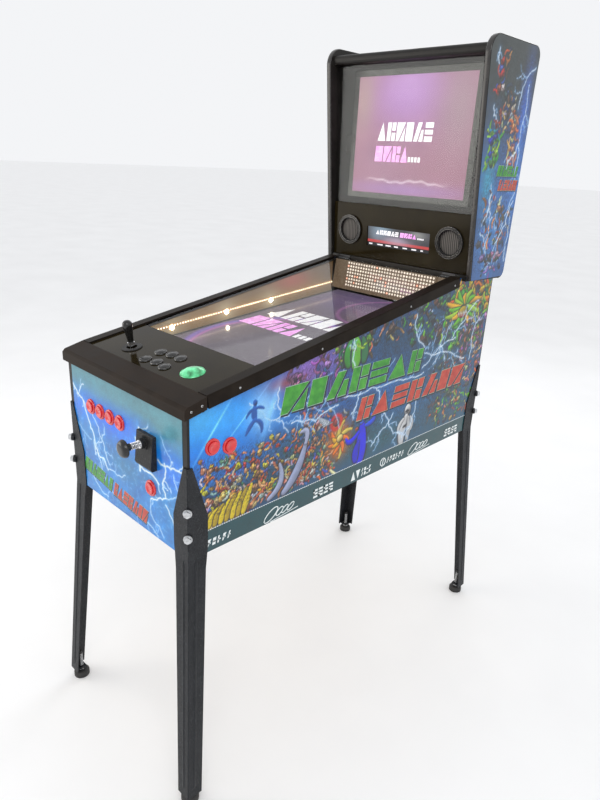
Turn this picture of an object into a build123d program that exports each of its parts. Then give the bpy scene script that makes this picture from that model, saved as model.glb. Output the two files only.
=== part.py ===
from build123d import *
import os
from math import atan, cos, sin, sqrt

# Pinball machine with two displays, standing on four bolted legs.
# Working frame: X to the player's right, Y from the front panel's face towards the rear, Z up from the floor.
# The saved parts are moved so that the origin lies on the floor, under the middle of the whole machine.

# Cabinet box
CABINET_WIDTH = 450.0
CABINET_LENGTH = 1060.0
CABINET_BOTTOM = 607.0
BOARD = 15.0
FLOOR_BOARD = 12.0
FRONT_TOP = 920.0
SHELF_TOP = 1075.0
SHELF_FRONT = 890.0
HALF = CABINET_WIDTH / 2
INNER = HALF - BOARD
REAR_INNER = CABINET_LENGTH - BOARD

# Deck: the sloping plane of the glass and the control panel
DECK_FRONT_Z = 936.0
DECK_RISE = 0.17
DECK_ANGLE = atan(DECK_RISE)
DECK_START = 42.0
DECK_SPLIT = 188.0
DECK_END = 870.0
GLASS = 4.0
CONTROL_PANEL = 6.0
EDGE_GAP = 0.5
LEDGE = 6.0

# Slots in the two rear boards and the floor, and the hole that takes the cables up into the backbox
VENT_COUNT = 8
VENT_PITCH = 14.0
FLOOR_SLOTS = 8
FLOOR_SLOT_Y, FLOOR_SLOT_PITCH = 640.0, 22.0
CABLE_HOLE_Y = 985.0
CABLE_HOLE_RADIUS = 32.0

# Lock bar and side rails
LOCK_BAR_HALF = 232.0
LOCK_BAR_SKIRT = 909.0
LOCK_BAR_FRONT = -9.0
LOCK_BAR_WALL = 3.0
RAIL_OUTER = 232.0
RAIL_INNER = 204.0
RAIL_TOP = 4.0
RAIL_DROP = 23.0

# Playfield display, its light strips and the dot matrix panel behind it
SCREEN_FRONT_Y = 168.0
SCREEN_REAR_Y = 888.0
SCREEN_FRONT_Z = 918.5
SCREEN_ANGLE = atan(0.088)
SCREEN_HALF = 206.0
SCREEN_DEPTH = 40.0
SCREEN_BORDER = 12.0
SCREEN_RELIEF = 14.0
BATTEN = 20.0
STRIP_FRONT_Y = 206.0
STRIP_REAR_Y = 862.0
STRIP_FRONT_Z = 947.0
STRIP_ANGLE = atan(0.092)
STRIP_HEIGHT = 10.0
STRIP_THICK = 3.0
MATRIX_BOTTOM = (866.0, 992.0)
MATRIX_TOP = (877.0, 1077.0)
MATRIX_HALF = 158.0
MATRIX_BOARD = 77.0

# Push buttons
RED_RIM, RED_CAP, RED_BARREL = 17.5, 12.5, 14.5
BLACK_RIM, BLACK_CAP, BLACK_BARREL = 14.0, 10.5, 12.0
DOME_RIM, DOME_CAP, DOME_BARREL = 26.0, 23.5, 24.6
DOME_HEIGHT = 9.0
RUNNING_GAP = 0.05
BORE_DEPTH = 16.0
CAP_DEPTH = 10.0
BARREL_LENGTH = 24.0
FRONT_BUTTON_Z = 825.0
FRONT_BUTTON_X = (-130.0, -90.0, -50.0, -10.0)
LAUNCH_X, LAUNCH_Z = 100.0, 718.0
FLIPPER_YZ = {"front": (58.0, 838.0), "rear": (100.0, 829.0)}
PANEL_BUTTON_XY = ((-19.0, 72.0), (15.0, 77.0), (49.0, 73.0), (-22.0, 112.0), (10.0, 119.0), (42.0, 118.0))
DOME_X, DOME_Y = 119.0, 92.0

# Joystick
STICK_X, STICK_Y = -101.0, 90.0
PIVOT_DEPTH = 24.0
STICK_RADIUS = 4.75
TRUNNION_RADIUS = 2.0
GIMBAL_OUTER, GIMBAL_INNER, GIMBAL_THICK = 15.0, 10.0, 7.0
STICK_OPENING = 12.0
STICK_BOX = 58.0
STICK_CAVITY = 44.0
STICK_BOX_DEPTH = 52.0

# Ball shooter
PLUNGER_X, PLUNGER_Z = 95.0, 820.0
SHOOTER_PLATE_HALF = 29.0
SHOOTER_PLATE_BOTTOM, SHOOTER_PLATE_TOP = 766.0, 839.0
ROD_RADIUS = 4.75
ROD_FRONT, ROD_REAR = -44.0, 122.0
COLLAR_Y = 98.0
KNOB_FRONT = -64.0
KNOB_RADIUS = 18.5
SPRING_RADIUS = 8.0
SPRING_WIRE = 0.8
SPRING_TURNS = 9
SLEEVE_END = 40.0
SHOOTER_SLEEVE = 11.0

# Legs
LEG_WALL = 3.0
LEG_SPLAY = 44.0
LEG_END_Z = 25.0
LEG_STATIONS = (
    (809.0, 13.0),
    (696.0, 48.0),
    (627.0, 48.0),
    (CABINET_BOTTOM, 46.0),
    (575.0, 43.0),
    (LEG_END_Z, 37.0),
)
LEG_BOLT_Z = (718.0, 661.0)
BOLT_RADIUS = 4.0
BOLT_HOLE = 4.2
BOLT_SEAT_RADIUS = 9.0
BOLT_SEAT = 6.2
BOLT_WASHER = 1.6
BOLT_HEAD_RADIUS, BOLT_HEAD_HEIGHT = 7.5, 5.5
BOLT_NUT_HEIGHT = 6.5
CORNER_BLOCK = 45.0
STUD_INSET = 17.0
STUD_RADIUS = 5.0
STUD_TOP = 78.0
FOOT_RADIUS = 20.0
FOOT_HEIGHT = 18.0

# Backbox
BACKBOX_HALF = 253.0
BACKBOX_BOARD = 15.0
BACKBOX_INNER = BACKBOX_HALF - BACKBOX_BOARD
BACKBOX_BASE = SHELF_TOP + 0.3
BACKBOX_TOP = 1648.0
BACKBOX_FRONT = 888.0
BACKBOX_REAR = 1060.0
BACKBOX_FRONT_LEAN = 60.0
BACKBOX_REAR_LEAN = 13.0
TOP_BOARD_Z = 1606.0
TOP_BOARD = 24.0
TOP_BOARD_Y = (842.0, 1060.0)
BACK_BOARD_Y = (1046.0, 1058.0)
FACE_FRONT_Y, FACE_FRONT_Z = 897.5, 1091.0
FACE_ANGLE = atan(0.075)
SPEAKER_PANEL_HEIGHT = 154.0
BACKGLASS_HEIGHT = 358.0
BACK_SCREEN_HALF = 205.0
BACK_SCREEN_Z = (1262.0, 1596.0)
BACK_SCREEN_Y = 904.0
BACK_SCREEN_DEPTH = 42.0
SPEAKER_X = 173.0
SPEAKER_UP = 77.5
SPEAKER_RING, SPEAKER_OPENING = 42.5, 34.0
SCORE_SCREEN_HALF = 109.5
SCORE_SCREEN_UP = (38.5, 93.5)
SCORE_SCREEN_BORDER = 6.0
SCORE_SCREEN_DEPTH = 10.0

# Backbox hinge
HINGE_X = 184.0
HINGE_HALF = 20.0
HINGE_Y = 885.5
HINGE_Z = 1080.0
KNUCKLE_RADIUS = 4.0
HINGE_PIN = 1.9
KNUCKLE_SPLIT = 6.5

# Rear panel power inlet
INLET_X, INLET_Z = 120.0, 690.0
INLET_FLANGE = (64.0, 32.0, 3.0)
INLET_BODY = (52.0, 26.0, 28.0)
SOCKET_OFFSET, SOCKET_SIZE, SOCKET_DEPTH = 10.0, (25.0, 17.0), 18.0
ROCKER_OFFSET, ROCKER_WIDTH, ROCKER_RADIUS = -15.0, 12.6, 10.4
ROCKER_TILT = 6.0

# Game computer
CASE_HALF = 110.0
CASE_Y = (600.0, 900.0)
CASE_HEIGHT = 150.0
CASE_FOOT = 8.0
CASE_SLOTS = 8
CASE_SLOT_PITCH = 12.0

# The origin lies midway between the shooter knob's front and the rear legs' feet.
FOOT_SPREAD = LEG_SPLAY * (CABINET_BOTTOM - LEG_END_Z) / CABINET_BOTTOM
ORIGIN_Y = (KNOB_FRONT + CABINET_LENGTH + LEG_WALL + FOOT_SPREAD) / 2

DECK = Plane((0, 0, DECK_FRONT_Z), x_dir=(1, 0, 0), z_dir=(0, -sin(DECK_ANGLE), cos(DECK_ANGLE)))
SCREEN = Plane(
    (0, SCREEN_FRONT_Y, SCREEN_FRONT_Z), x_dir=(1, 0, 0), z_dir=(0, -sin(SCREEN_ANGLE), cos(SCREEN_ANGLE))
)
STRIP = Plane(
    (0, STRIP_FRONT_Y, STRIP_FRONT_Z), x_dir=(1, 0, 0), z_dir=(0, -sin(STRIP_ANGLE), cos(STRIP_ANGLE))
)
FACE = Plane(
    (0, FACE_FRONT_Y, FACE_FRONT_Z), x_dir=(1, 0, 0), z_dir=(0, -cos(FACE_ANGLE), -sin(FACE_ANGLE))
)


def block(x, y, z):
    """A box between two limits on each axis."""
    limits = (x, y, z)
    sizes = [high - low for low, high in limits]
    centre = [(low + high) / 2 for low, high in limits]
    return Pos(*centre) * Box(*sizes)


def disc(radius, low, high):
    """A cylinder on local Z between two heights."""
    return Pos(0, 0, (low + high) / 2) * Cylinder(radius, high - low)


def profile_yz(points, x_low, x_high):
    """A side outline of (y, z) points, extruded across the machine."""
    return extrude(Plane.YZ.offset(x_low) * make_face(Polyline(*points, close=True)), amount=x_high - x_low)


def along_deck(y):
    """Distance up the deck's slope for a horizontal distance behind the front panel."""
    return y / cos(DECK_ANGLE)


def deck_block(x, y, height):
    """A box lying in the deck's plane, given by horizontal distances and heights above the deck."""
    return DECK.location * block(x, (along_deck(y[0]), along_deck(y[1])), height)


def deck_height(y):
    return DECK_FRONT_Z + DECK_RISE * y


def mirrored(part):
    """The left-hand copy of a right-hand piece."""
    return mirror(part, about=Plane.YZ)


def both_sides(part):
    return [part, mirrored(part)]


def at_corners(part):
    """Copies of a front right piece at the four corners of the cabinet."""
    middle = Plane.XZ.offset(-CABINET_LENGTH / 2)
    front = both_sides(part)
    return front + [mirror(piece, about=middle) for piece in front]


def save(name, *solids):
    """Writes one sub-part, moved to the machine's own origin."""
    moved = [Pos(0, -ORIGIN_Y, 0) * solid for solid in solids]
    shape = moved[0] if len(moved) == 1 else Compound(children=moved)
    shape.label = name
    export_step(shape, os.path.join("parts", name + ".step"))


# Where each control sits: a location whose Z axis points out of the surface
def front_place(x, z):
    return Plane((x, 0, z), x_dir=(1, 0, 0), z_dir=(0, -1, 0)).location


def side_place(y, z, side):
    return Plane((side * HALF, y, z), x_dir=(0, side, 0), z_dir=(side, 0, 0)).location


def deck_place(x, y):
    return DECK.location * Pos(x, along_deck(y), 0)


FRONT_PLACES = [front_place(x, FRONT_BUTTON_Z) for x in FRONT_BUTTON_X]
LAUNCH_PLACE = front_place(LAUNCH_X, LAUNCH_Z)
FLIPPER_PLACES = {
    f"flipper_button_{side_name}_{row}": side_place(y, z, side)
    for side_name, side in (("right", 1), ("left", -1))
    for row, (y, z) in FLIPPER_YZ.items()
}
PANEL_PLACES = [deck_place(x, y) for x, y in PANEL_BUTTON_XY]
DOME_PLACE = deck_place(DOME_X, DOME_Y)
STICK_PLACE = deck_place(STICK_X, STICK_Y)
PIVOT_PLACE = STICK_PLACE * Pos(0, 0, -PIVOT_DEPTH)


def through_hole(radius, place, depth=40.0):
    return place * disc(radius, -depth, 5.0)


CABLE_HOLE = Pos(0, CABLE_HOLE_Y, SHELF_TOP) * Cylinder(CABLE_HOLE_RADIUS, 60)

# Leg bolt axes: Z points diagonally out of the front right corner
BOLT_PLACES = [Plane((HALF, 0, z), x_dir=(0, 0, 1), z_dir=(1, -1, 0)).location for z in LEG_BOLT_Z]
BOLT_HOLES = [place * disc(BOLT_HOLE, -100.0, 20.0) for place in BOLT_PLACES]
CORNER_HOLES = at_corners(Compound(children=BOLT_HOLES))


# Cabinet boards
def side_panel():
    """Right side: an outline that follows the deck and steps down to the rear shelf."""
    outline = (
        (0, CABINET_BOTTOM),
        (0, FRONT_TOP),
        (DECK_START, FRONT_TOP),
        (DECK_START, deck_height(DECK_START)),
        (DECK_END, deck_height(DECK_END)),
        (DECK_END, SHELF_TOP),
        (CABINET_LENGTH, SHELF_TOP),
        (CABINET_LENGTH, CABINET_BOTTOM),
    )
    panel = profile_yz(outline, INNER, HALF)
    # A glued ledge carries the glass and the control panel, a batten carries the playfield display.
    ledge = (INNER - LEDGE, INNER)
    panel += deck_block(ledge, (DECK_START, DECK_SPLIT - 2), (-CONTROL_PANEL - LEDGE, -CONTROL_PANEL))
    panel += deck_block(ledge, (DECK_SPLIT, MATRIX_BOTTOM[0]), (-GLASS - LEDGE, -GLASS))
    batten_length = SCREEN_REAR_Y - SCREEN_FRONT_Y
    batten = block((INNER - BATTEN, INNER), (0, batten_length), (-SCREEN_DEPTH - BATTEN, -SCREEN_DEPTH))
    panel += SCREEN.location * batten
    for y, z in FLIPPER_YZ.values():
        panel -= through_hole(RED_BARREL + 0.2, side_place(y, z, 1))
    for hole in CORNER_HOLES:
        panel -= hole
    return panel


def front_panel():
    panel = block((-INNER, INNER), (0, BOARD), (CABINET_BOTTOM, FRONT_TOP))
    for place in FRONT_PLACES + [LAUNCH_PLACE]:
        panel -= through_hole(RED_BARREL + 0.2, place)
    panel -= through_hole(SHOOTER_SLEEVE + 0.2, front_place(PLUNGER_X, PLUNGER_Z))
    for hole in CORNER_HOLES:
        panel -= hole
    return panel


def vent_slots(z_low, length, y):
    """A stack of horizontal slots through a rear board."""
    slots = []
    for i in range(VENT_COUNT):
        z = z_low + i * VENT_PITCH
        slots.append(block((-length / 2, length / 2), y, (z, z + VENT_PITCH / 2)))
    return slots


def rear_panel():
    panel = block((-INNER, INNER), (REAR_INNER, CABINET_LENGTH), (CABINET_BOTTOM, SHELF_TOP - BOARD))
    for slot in vent_slots(860.0, 220.0, (REAR_INNER - 1, CABINET_LENGTH + 1)):
        panel -= slot
    width, height, _ = INLET_BODY
    panel -= block(
        (INLET_X - width / 2 - 0.3, INLET_X + width / 2 + 0.3),
        (REAR_INNER - 1, CABINET_LENGTH + 1),
        (INLET_Z - height / 2 - 0.3, INLET_Z + height / 2 + 0.3),
    )
    for hole in CORNER_HOLES:
        panel -= hole
    return panel


def floor_panel():
    panel = block((-INNER, INNER), (BOARD, REAR_INNER), (CABINET_BOTTOM, CABINET_BOTTOM + FLOOR_BOARD))
    for i in range(FLOOR_SLOTS):
        y = FLOOR_SLOT_Y + FLOOR_SLOT_PITCH * i
        panel -= block((-110, 110), (y, y + 10), (CABINET_BOTTOM - 1, CABINET_BOTTOM + FLOOR_BOARD + 1))
    return panel


def rear_shelf():
    """Board that carries the backbox, with a hole for its cables."""
    shelf = block((-INNER, INNER), (SHELF_FRONT, CABINET_LENGTH), (SHELF_TOP - BOARD, SHELF_TOP))
    return shelf - CABLE_HOLE


def corner_block():
    """Triangular block glued inside the front right corner, which the leg bolts clamp."""
    low, high = 635.0, 745.0
    corner = (INNER, BOARD)
    face = make_face(
        Polyline(corner, (INNER - CORNER_BLOCK, BOARD), (INNER, BOARD + CORNER_BLOCK), close=True)
    )
    part = extrude(Plane.XY.offset(low) * face, amount=high - low)
    for hole in BOLT_HOLES:
        part -= hole
    return part


def lock_bar():
    """Channel across the front edge, with a rounded nose and closed cheeks over the side panels."""
    nose_z, back_z = 928.0, 946.0
    cheek_z = deck_height(DECK_START) - RAIL_DROP
    nose = (LOCK_BAR_FRONT, nose_z)
    outline = (
        (LOCK_BAR_FRONT, LOCK_BAR_SKIRT),
        nose,
        (LOCK_BAR_FRONT + 6, nose_z + 6.5),
        (DECK_START - EDGE_GAP, back_z),
        (DECK_START - EDGE_GAP, cheek_z),
    )
    bar = profile_yz(outline, -LOCK_BAR_HALF, LOCK_BAR_HALF)
    front_edges = bar.edges().filter_by(Axis.X).sort_by(Axis.Y)[:3]
    bar = fillet(front_edges.sort_by(Axis.Z)[1:], 2.5)
    cavity = (
        (LOCK_BAR_FRONT + LOCK_BAR_WALL, LOCK_BAR_SKIRT - 5),
        (LOCK_BAR_FRONT + LOCK_BAR_WALL, nose_z - 2),
        (LOCK_BAR_FRONT + LOCK_BAR_WALL + 5, nose_z + 2.5),
        (DECK_START + 5, back_z - LOCK_BAR_WALL),
        (DECK_START + 5, LOCK_BAR_SKIRT - 5),
    )
    return bar - profile_yz(cavity, -HALF - 0.2, HALF + 0.2)


def side_rail():
    """Right rail: an angle that caps the side panel and overlaps the glass edge."""
    reach = (DECK_START + EDGE_GAP, DECK_END)
    rail = deck_block((RAIL_INNER, RAIL_OUTER), reach, (0, RAIL_TOP))
    rail += deck_block((HALF, RAIL_OUTER), reach, (-RAIL_DROP, RAIL_TOP))
    long_edges = rail.edges().filter_by(GeomType.LINE).sort_by(SortBy.LENGTH)[-6:]
    top_outer = long_edges.sort_by(lambda edge: edge.center().X + edge.center().Z)[-1]
    return fillet(top_outer, 3.0)


def control_panel():
    half = INNER - EDGE_GAP
    panel = deck_block((-half, half), (DECK_START, DECK_SPLIT - EDGE_GAP), (-CONTROL_PANEL, 0))
    for place in PANEL_PLACES:
        panel -= through_hole(BLACK_BARREL + 0.2, place)
    panel -= through_hole(DOME_BARREL + 0.2, DOME_PLACE)
    panel -= through_hole(STICK_OPENING + 1, STICK_PLACE)
    return panel


def playfield_glass():
    half = INNER - EDGE_GAP
    return deck_block((-half, half), (DECK_SPLIT, DECK_END), (-GLASS, 0))


def playfield_monitor():
    """Flat display, hollowed behind inside a border that rests on the battens."""
    length = SCREEN_REAR_Y - SCREEN_FRONT_Y
    body = block((-SCREEN_HALF, SCREEN_HALF), (0, length), (-SCREEN_DEPTH, 0))
    half = INNER - BATTEN - SCREEN_BORDER
    end = 40
    relief = block((-half, half), (end, length - end), (-SCREEN_DEPTH, -SCREEN_DEPTH + SCREEN_RELIEF))
    return SCREEN.location * (body - relief)


def led_strip():
    """Right light strip, stuck along the inner wall between the glass and the display."""
    length = (STRIP_REAR_Y - STRIP_FRONT_Y) / cos(STRIP_ANGLE)
    half = STRIP_HEIGHT / 2
    return STRIP.location * block((INNER - STRIP_THICK, INNER), (0, length), (-half, half))


def matrix_panel():
    """Rear wall of the playfield well, with the raised board of the dot matrix display."""
    (y0, z0), (y1, z1) = MATRIX_BOTTOM, MATRIX_TOP
    length = sqrt((y1 - y0) ** 2 + (z1 - z0) ** 2)
    lean = Plane((0, y0, z0), x_dir=(1, 0, 0), z_dir=(0, -(z1 - z0), y1 - y0)).location
    backing = lean * block((-INNER + EDGE_GAP, INNER - EDGE_GAP), (0, length), (-3, 0))
    board = lean * block((-MATRIX_HALF, MATRIX_HALF), (length - MATRIX_BOARD, length - 1), (0, 5))
    return backing + board


# Push buttons
def button_housing(rim, cap, barrel, board, rim_height):
    """Rim, threaded barrel and nut, bored for the cap."""
    body = fillet(disc(rim, 0, rim_height).faces().sort_by(Axis.Z)[-1].edges(), rim_height * 0.4)
    body += disc(barrel, -BARREL_LENGTH, 0)
    nut = disc(min(rim - 0.3, barrel + 2.6), -board - 6, -board)
    return body + nut - disc(cap + RUNNING_GAP, -BORE_DEPTH, rim_height + 1)


def dished_cap(radius, height):
    """Cap with a shallow finger dish."""
    cap = disc(radius, -CAP_DEPTH, height)
    cap = fillet(cap.faces().sort_by(Axis.Z)[-1].edges(), 0.8)
    bowl = radius * 1.9
    return cap - Pos(0, 0, height + bowl - 1.6) * Sphere(bowl)


def domed_cap(radius, rim_height, height):
    """Cap with a low dome."""
    bowl = (radius**2 + height**2) / (2 * height)
    dome = Pos(0, 0, rim_height + height - bowl) * Sphere(bowl)
    cap = disc(radius, -CAP_DEPTH, rim_height + height)
    return cap & (dome + disc(radius, -CAP_DEPTH, rim_height))


# Joystick
def joystick_base():
    """Box under the control panel with the gimbal's bearings, and the round washer on top of the panel."""
    half = STICK_BOX / 2
    base = block((-half, half), (-half, half), (-STICK_BOX_DEPTH, -CONTROL_PANEL - 0.1))
    cavity = STICK_CAVITY / 2
    base -= block((-cavity, cavity), (-cavity, cavity), (-STICK_BOX_DEPTH + 3, -CONTROL_PANEL - 3))
    base -= disc(STICK_OPENING + 1, -STICK_BOX_DEPTH / 2, 0)
    base -= Pos(0, 0, -PIVOT_DEPTH) * Rot(0, 90, 0) * Cylinder(TRUNNION_RADIUS + RUNNING_GAP, 2 * half + 2)
    washer = fillet(disc(23, 0, 2.5).faces().sort_by(Axis.Z)[-1].edges(), 1.2)
    washer -= disc(STICK_OPENING, -1, 4)
    return [STICK_PLACE * base, STICK_PLACE * washer]


def joystick_gimbal():
    """Ring that tilts on two side trunnions and carries the stick's cross pin."""
    half = GIMBAL_THICK / 2
    ring = disc(GIMBAL_OUTER, -half, half) - disc(GIMBAL_INNER, -half - 1, half + 1)
    ring += Rot(0, 90, 0) * (
        disc(TRUNNION_RADIUS, GIMBAL_INNER + 1, STICK_BOX / 2 - 1)
        + disc(TRUNNION_RADIUS, -STICK_BOX / 2 + 1, -GIMBAL_INNER - 1)
    )
    ring -= Rot(90, 0, 0) * Cylinder(TRUNNION_RADIUS + RUNNING_GAP, 2 * GIMBAL_OUTER + 2)
    return PIVOT_PLACE * ring


def joystick_shaft():
    """Steel shaft with its cross pin, lower actuator and bright collar."""
    shaft = disc(STICK_RADIUS, -20, PIVOT_DEPTH + 30)
    shaft += disc(6.5, -22, -12)
    shaft += Rot(90, 0, 0) * Cylinder(TRUNNION_RADIUS, 2 * GIMBAL_OUTER - 1)
    shaft += disc(8, PIVOT_DEPTH + 6, PIVOT_DEPTH + 13)
    return PIVOT_PLACE * shaft


def joystick_handle():
    """Bat-shaped handle that widens towards a rounded top."""
    low = PIVOT_DEPTH + 13.0
    outline = Polyline((0, low), (6.0, low), (6.8, low + 2))
    outline += Spline(
        (6.8, low + 2),
        (8.2, low + 18),
        (10.8, low + 36),
        (10.2, low + 45),
        (0, low + 51),
        tangents=((0.05, 1), (-1, 0)),
    )
    outline += Line((0, low + 51), (0, low))
    bat = revolve(Plane.XZ * make_face(outline), Axis.Z)
    return PIVOT_PLACE * (bat - disc(STICK_RADIUS, 0, PIVOT_DEPTH + 30))


# Ball shooter, on a local Z axis that points out of the front panel
SHOOTER_PLACE = front_place(PLUNGER_X, PLUNGER_Z)


def plunger_housing():
    """Wedge-shaped cover plate with a boss outside and a sleeve through the panel."""
    top, bottom = SHOOTER_PLATE_TOP - PLUNGER_Z, SHOOTER_PLATE_BOTTOM - PLUNGER_Z
    outline = ((0, bottom), (0, top), (-8, top), (-15, bottom + 6), (-12, bottom))
    points = [(y, z + PLUNGER_Z) for y, z in outline]
    plate = profile_yz(points, PLUNGER_X - SHOOTER_PLATE_HALF, PLUNGER_X + SHOOTER_PLATE_HALF)
    front_edges = plate.edges().filter_by(Axis.X).sort_by(Axis.Y)[:3]
    plate = fillet(front_edges, 1.5)
    housing = plate + SHOOTER_PLACE * disc(SHOOTER_SLEEVE, -SLEEVE_END, 20)
    housing += SHOOTER_PLACE * disc(SHOOTER_SLEEVE + 3, 0, 14)
    nut = disc(SHOOTER_SLEEVE + 5, -BOARD - 5, -BOARD) - disc(SHOOTER_SLEEVE, -BOARD - 5, -BOARD)
    housing += SHOOTER_PLACE * nut
    return housing - SHOOTER_PLACE * disc(ROD_RADIUS + RUNNING_GAP, -SLEEVE_END - 1, 30)


def plunger_rod():
    rod = disc(ROD_RADIUS, -ROD_REAR, -ROD_FRONT)
    rod += disc(SPRING_RADIUS + 1.5, -COLLAR_Y - 3, -COLLAR_Y)
    rod += disc(ROD_RADIUS + 2, -ROD_REAR, -ROD_REAR + 8)
    return SHOOTER_PLACE * rod


def plunger_knob():
    """Flared knob with a narrow neck."""
    back, front = -ROD_FRONT - 2.0, -KNOB_FRONT
    outline = Polyline((0, back), (7.5, back), (7.0, back + 6), (12.0, back + 9), (KNOB_RADIUS, back + 11))
    outline += Spline(
        (KNOB_RADIUS, back + 11),
        (KNOB_RADIUS - 1.0, front - 6),
        (0, front),
        tangents=((0.3, 1), (-1, 0)),
    )
    outline += Line((0, front), (0, back))
    knob = revolve(Plane.XZ * make_face(outline), Axis.Z)
    return SHOOTER_PLACE * (knob - disc(ROD_RADIUS, back - 1, -ROD_FRONT))


def plunger_spring():
    """Coil between the sleeve's inner end and the rod's collar."""
    low, high = -COLLAR_Y + SPRING_WIRE, -SLEEVE_END - SPRING_WIRE
    height = high - low
    coil = Helix(pitch=height / SPRING_TURNS, height=height, radius=SPRING_RADIUS - SPRING_WIRE)
    section = Plane(coil @ 0, z_dir=coil % 0) * Circle(SPRING_WIRE)
    return SHOOTER_PLACE * Pos(0, 0, low) * sweep(section, path=coil)


# Legs
def leg_spread(z):
    """How far a leg stands outside the cabinet corner at a height."""
    return max(0.0, LEG_SPLAY * (CABINET_BOTTOM - z) / CABINET_BOTTOM)


def leg_section(z, width):
    """Angle section of the front right leg at a height, with a slightly broken outer corner."""
    spread = leg_spread(z)
    x, y = HALF + spread + LEG_WALL, -spread - LEG_WALL
    corner = 2.0
    points = (
        (x - corner, y),
        (x, y + corner),
        (x, y + width),
        (x - LEG_WALL, y + width),
        (x - LEG_WALL, y + LEG_WALL),
        (x - width, y + LEG_WALL),
        (x - width, y),
    )
    return Plane.XY.offset(z) * make_face(Polyline(*points, close=True))


def leg():
    """Front right leg: a tapered angle, with bolt seats on the fold and a foot plate at the end."""
    part = None
    for upper, lower in zip(LEG_STATIONS, LEG_STATIONS[1:]):
        length = loft([leg_section(*upper), leg_section(*lower)], ruled=True)
        part = length if part is None else part + length
    for place in BOLT_PLACES:
        seat = place * disc(BOLT_SEAT_RADIUS, 0, BOLT_SEAT)
        part += seat
    spread = leg_spread(LEG_END_Z)
    x, y = HALF + spread, -spread
    part += block((x - 27, x), (y, y + 27), (LEG_END_Z, LEG_END_Z + 5))
    part -= Pos(x - STUD_INSET, y + STUD_INSET, LEG_END_Z) * Cylinder(STUD_RADIUS + RUNNING_GAP, 30)
    for hole in BOLT_HOLES:
        part -= hole
    return part


def leg_bolt(place):
    """Hex bolt with washer through the corner, and its nut inside."""
    inner_face = -(BOARD * sqrt(2) + CORNER_BLOCK / sqrt(2))
    washer_top = BOLT_SEAT + BOLT_WASHER
    bolt = disc(BOLT_RADIUS, inner_face - 10, washer_top)
    bolt += disc(BOLT_SEAT_RADIUS, BOLT_SEAT, washer_top)
    hexagon = RegularPolygon(BOLT_HEAD_RADIUS, 6)
    bolt += extrude(Plane.XY.offset(washer_top) * hexagon, amount=BOLT_HEAD_HEIGHT)
    nut = extrude(Plane.XY.offset(inner_face - BOLT_NUT_HEIGHT) * hexagon, amount=BOLT_NUT_HEIGHT)
    nut -= disc(BOLT_RADIUS, inner_face - BOLT_NUT_HEIGHT - 1, inner_face + 1)
    return [place * bolt, place * nut]


def leveller():
    """Screw-in foot of the front right leg."""
    spread = leg_spread(LEG_END_Z)
    foot = disc(FOOT_RADIUS, 0, FOOT_HEIGHT)
    foot = fillet(foot.faces().sort_by(Axis.Z)[-1].edges(), 7.0)
    foot = fillet(foot.faces().sort_by(Axis.Z)[0].edges(), 2.0)
    foot += disc(STUD_RADIUS, FOOT_HEIGHT, STUD_TOP)
    return Pos(HALF + spread - STUD_INSET, -spread + STUD_INSET, 0) * foot


# Backbox
def backbox_side():
    """Right side, leaning forward, with rounded top and rear corners."""
    front_top = (BACKBOX_FRONT - BACKBOX_FRONT_LEAN, BACKBOX_TOP)
    rear_top = (BACKBOX_REAR + BACKBOX_REAR_LEAN, BACKBOX_TOP)
    outline = ((BACKBOX_FRONT, 1079.0), front_top, rear_top, (BACKBOX_REAR, SHELF_TOP))
    panel = profile_yz(outline, BACKBOX_INNER, BACKBOX_HALF)
    corners = panel.edges().filter_by(Axis.X)
    panel = fillet(corners.sort_by_distance((BACKBOX_INNER, *front_top))[:1], 40.0)
    corners = panel.edges().filter_by(Axis.X)
    panel = fillet(corners.sort_by_distance((BACKBOX_INNER, *rear_top))[:1], 25.0)
    corners = panel.edges().filter_by(Axis.X)
    return fillet(corners.sort_by_distance((BACKBOX_INNER, BACKBOX_REAR, SHELF_TOP))[:1], 22.0)


def backbox_top():
    board = block((-BACKBOX_INNER, BACKBOX_INNER), TOP_BOARD_Y, (TOP_BOARD_Z, TOP_BOARD_Z + TOP_BOARD))
    front_edges = board.edges().filter_by(Axis.X).sort_by(Axis.Y)[:2]
    return fillet(front_edges, 10.0)


def backbox_floor():
    height = (BACKBOX_BASE, BACKBOX_BASE + BACKBOX_BOARD)
    floor = block((-BACKBOX_INNER, BACKBOX_INNER), (SHELF_FRONT, BACK_BOARD_Y[0]), height)
    return floor - CABLE_HOLE


def backbox_rear():
    front, back = BACK_BOARD_Y
    board = block((-BACKBOX_INNER, BACKBOX_INNER), BACK_BOARD_Y, (BACKBOX_BASE, TOP_BOARD_Z))
    for slot in vent_slots(1430.0, 240.0, (front - 1, back + 1)):
        board -= slot
    return board


def face_block(x, up, depth):
    """A box in the leaning face of the backbox: across, up the face and backwards from it."""
    return FACE.location * block(x, up, (-depth[1], -depth[0]))


def speaker_places():
    return [FACE.location * Pos(x, SPEAKER_UP, 0) for x in (SPEAKER_X, -SPEAKER_X)]


def speaker_panel():
    half = BACKBOX_INNER - EDGE_GAP
    panel = face_block((-half, half), (0, SPEAKER_PANEL_HEIGHT), (0, 6))
    for place in speaker_places():
        panel -= place * disc(SPEAKER_OPENING + 2, -10, 5)
    return panel - face_block((-SCORE_SCREEN_HALF, SCORE_SCREEN_HALF), SCORE_SCREEN_UP, (-1, 7))


def backbox_glass():
    half = BACKBOX_INNER - EDGE_GAP
    low = SPEAKER_PANEL_HEIGHT + 1
    return face_block((-half, half), (low, low + BACKGLASS_HEIGHT), (0, GLASS))


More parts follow.
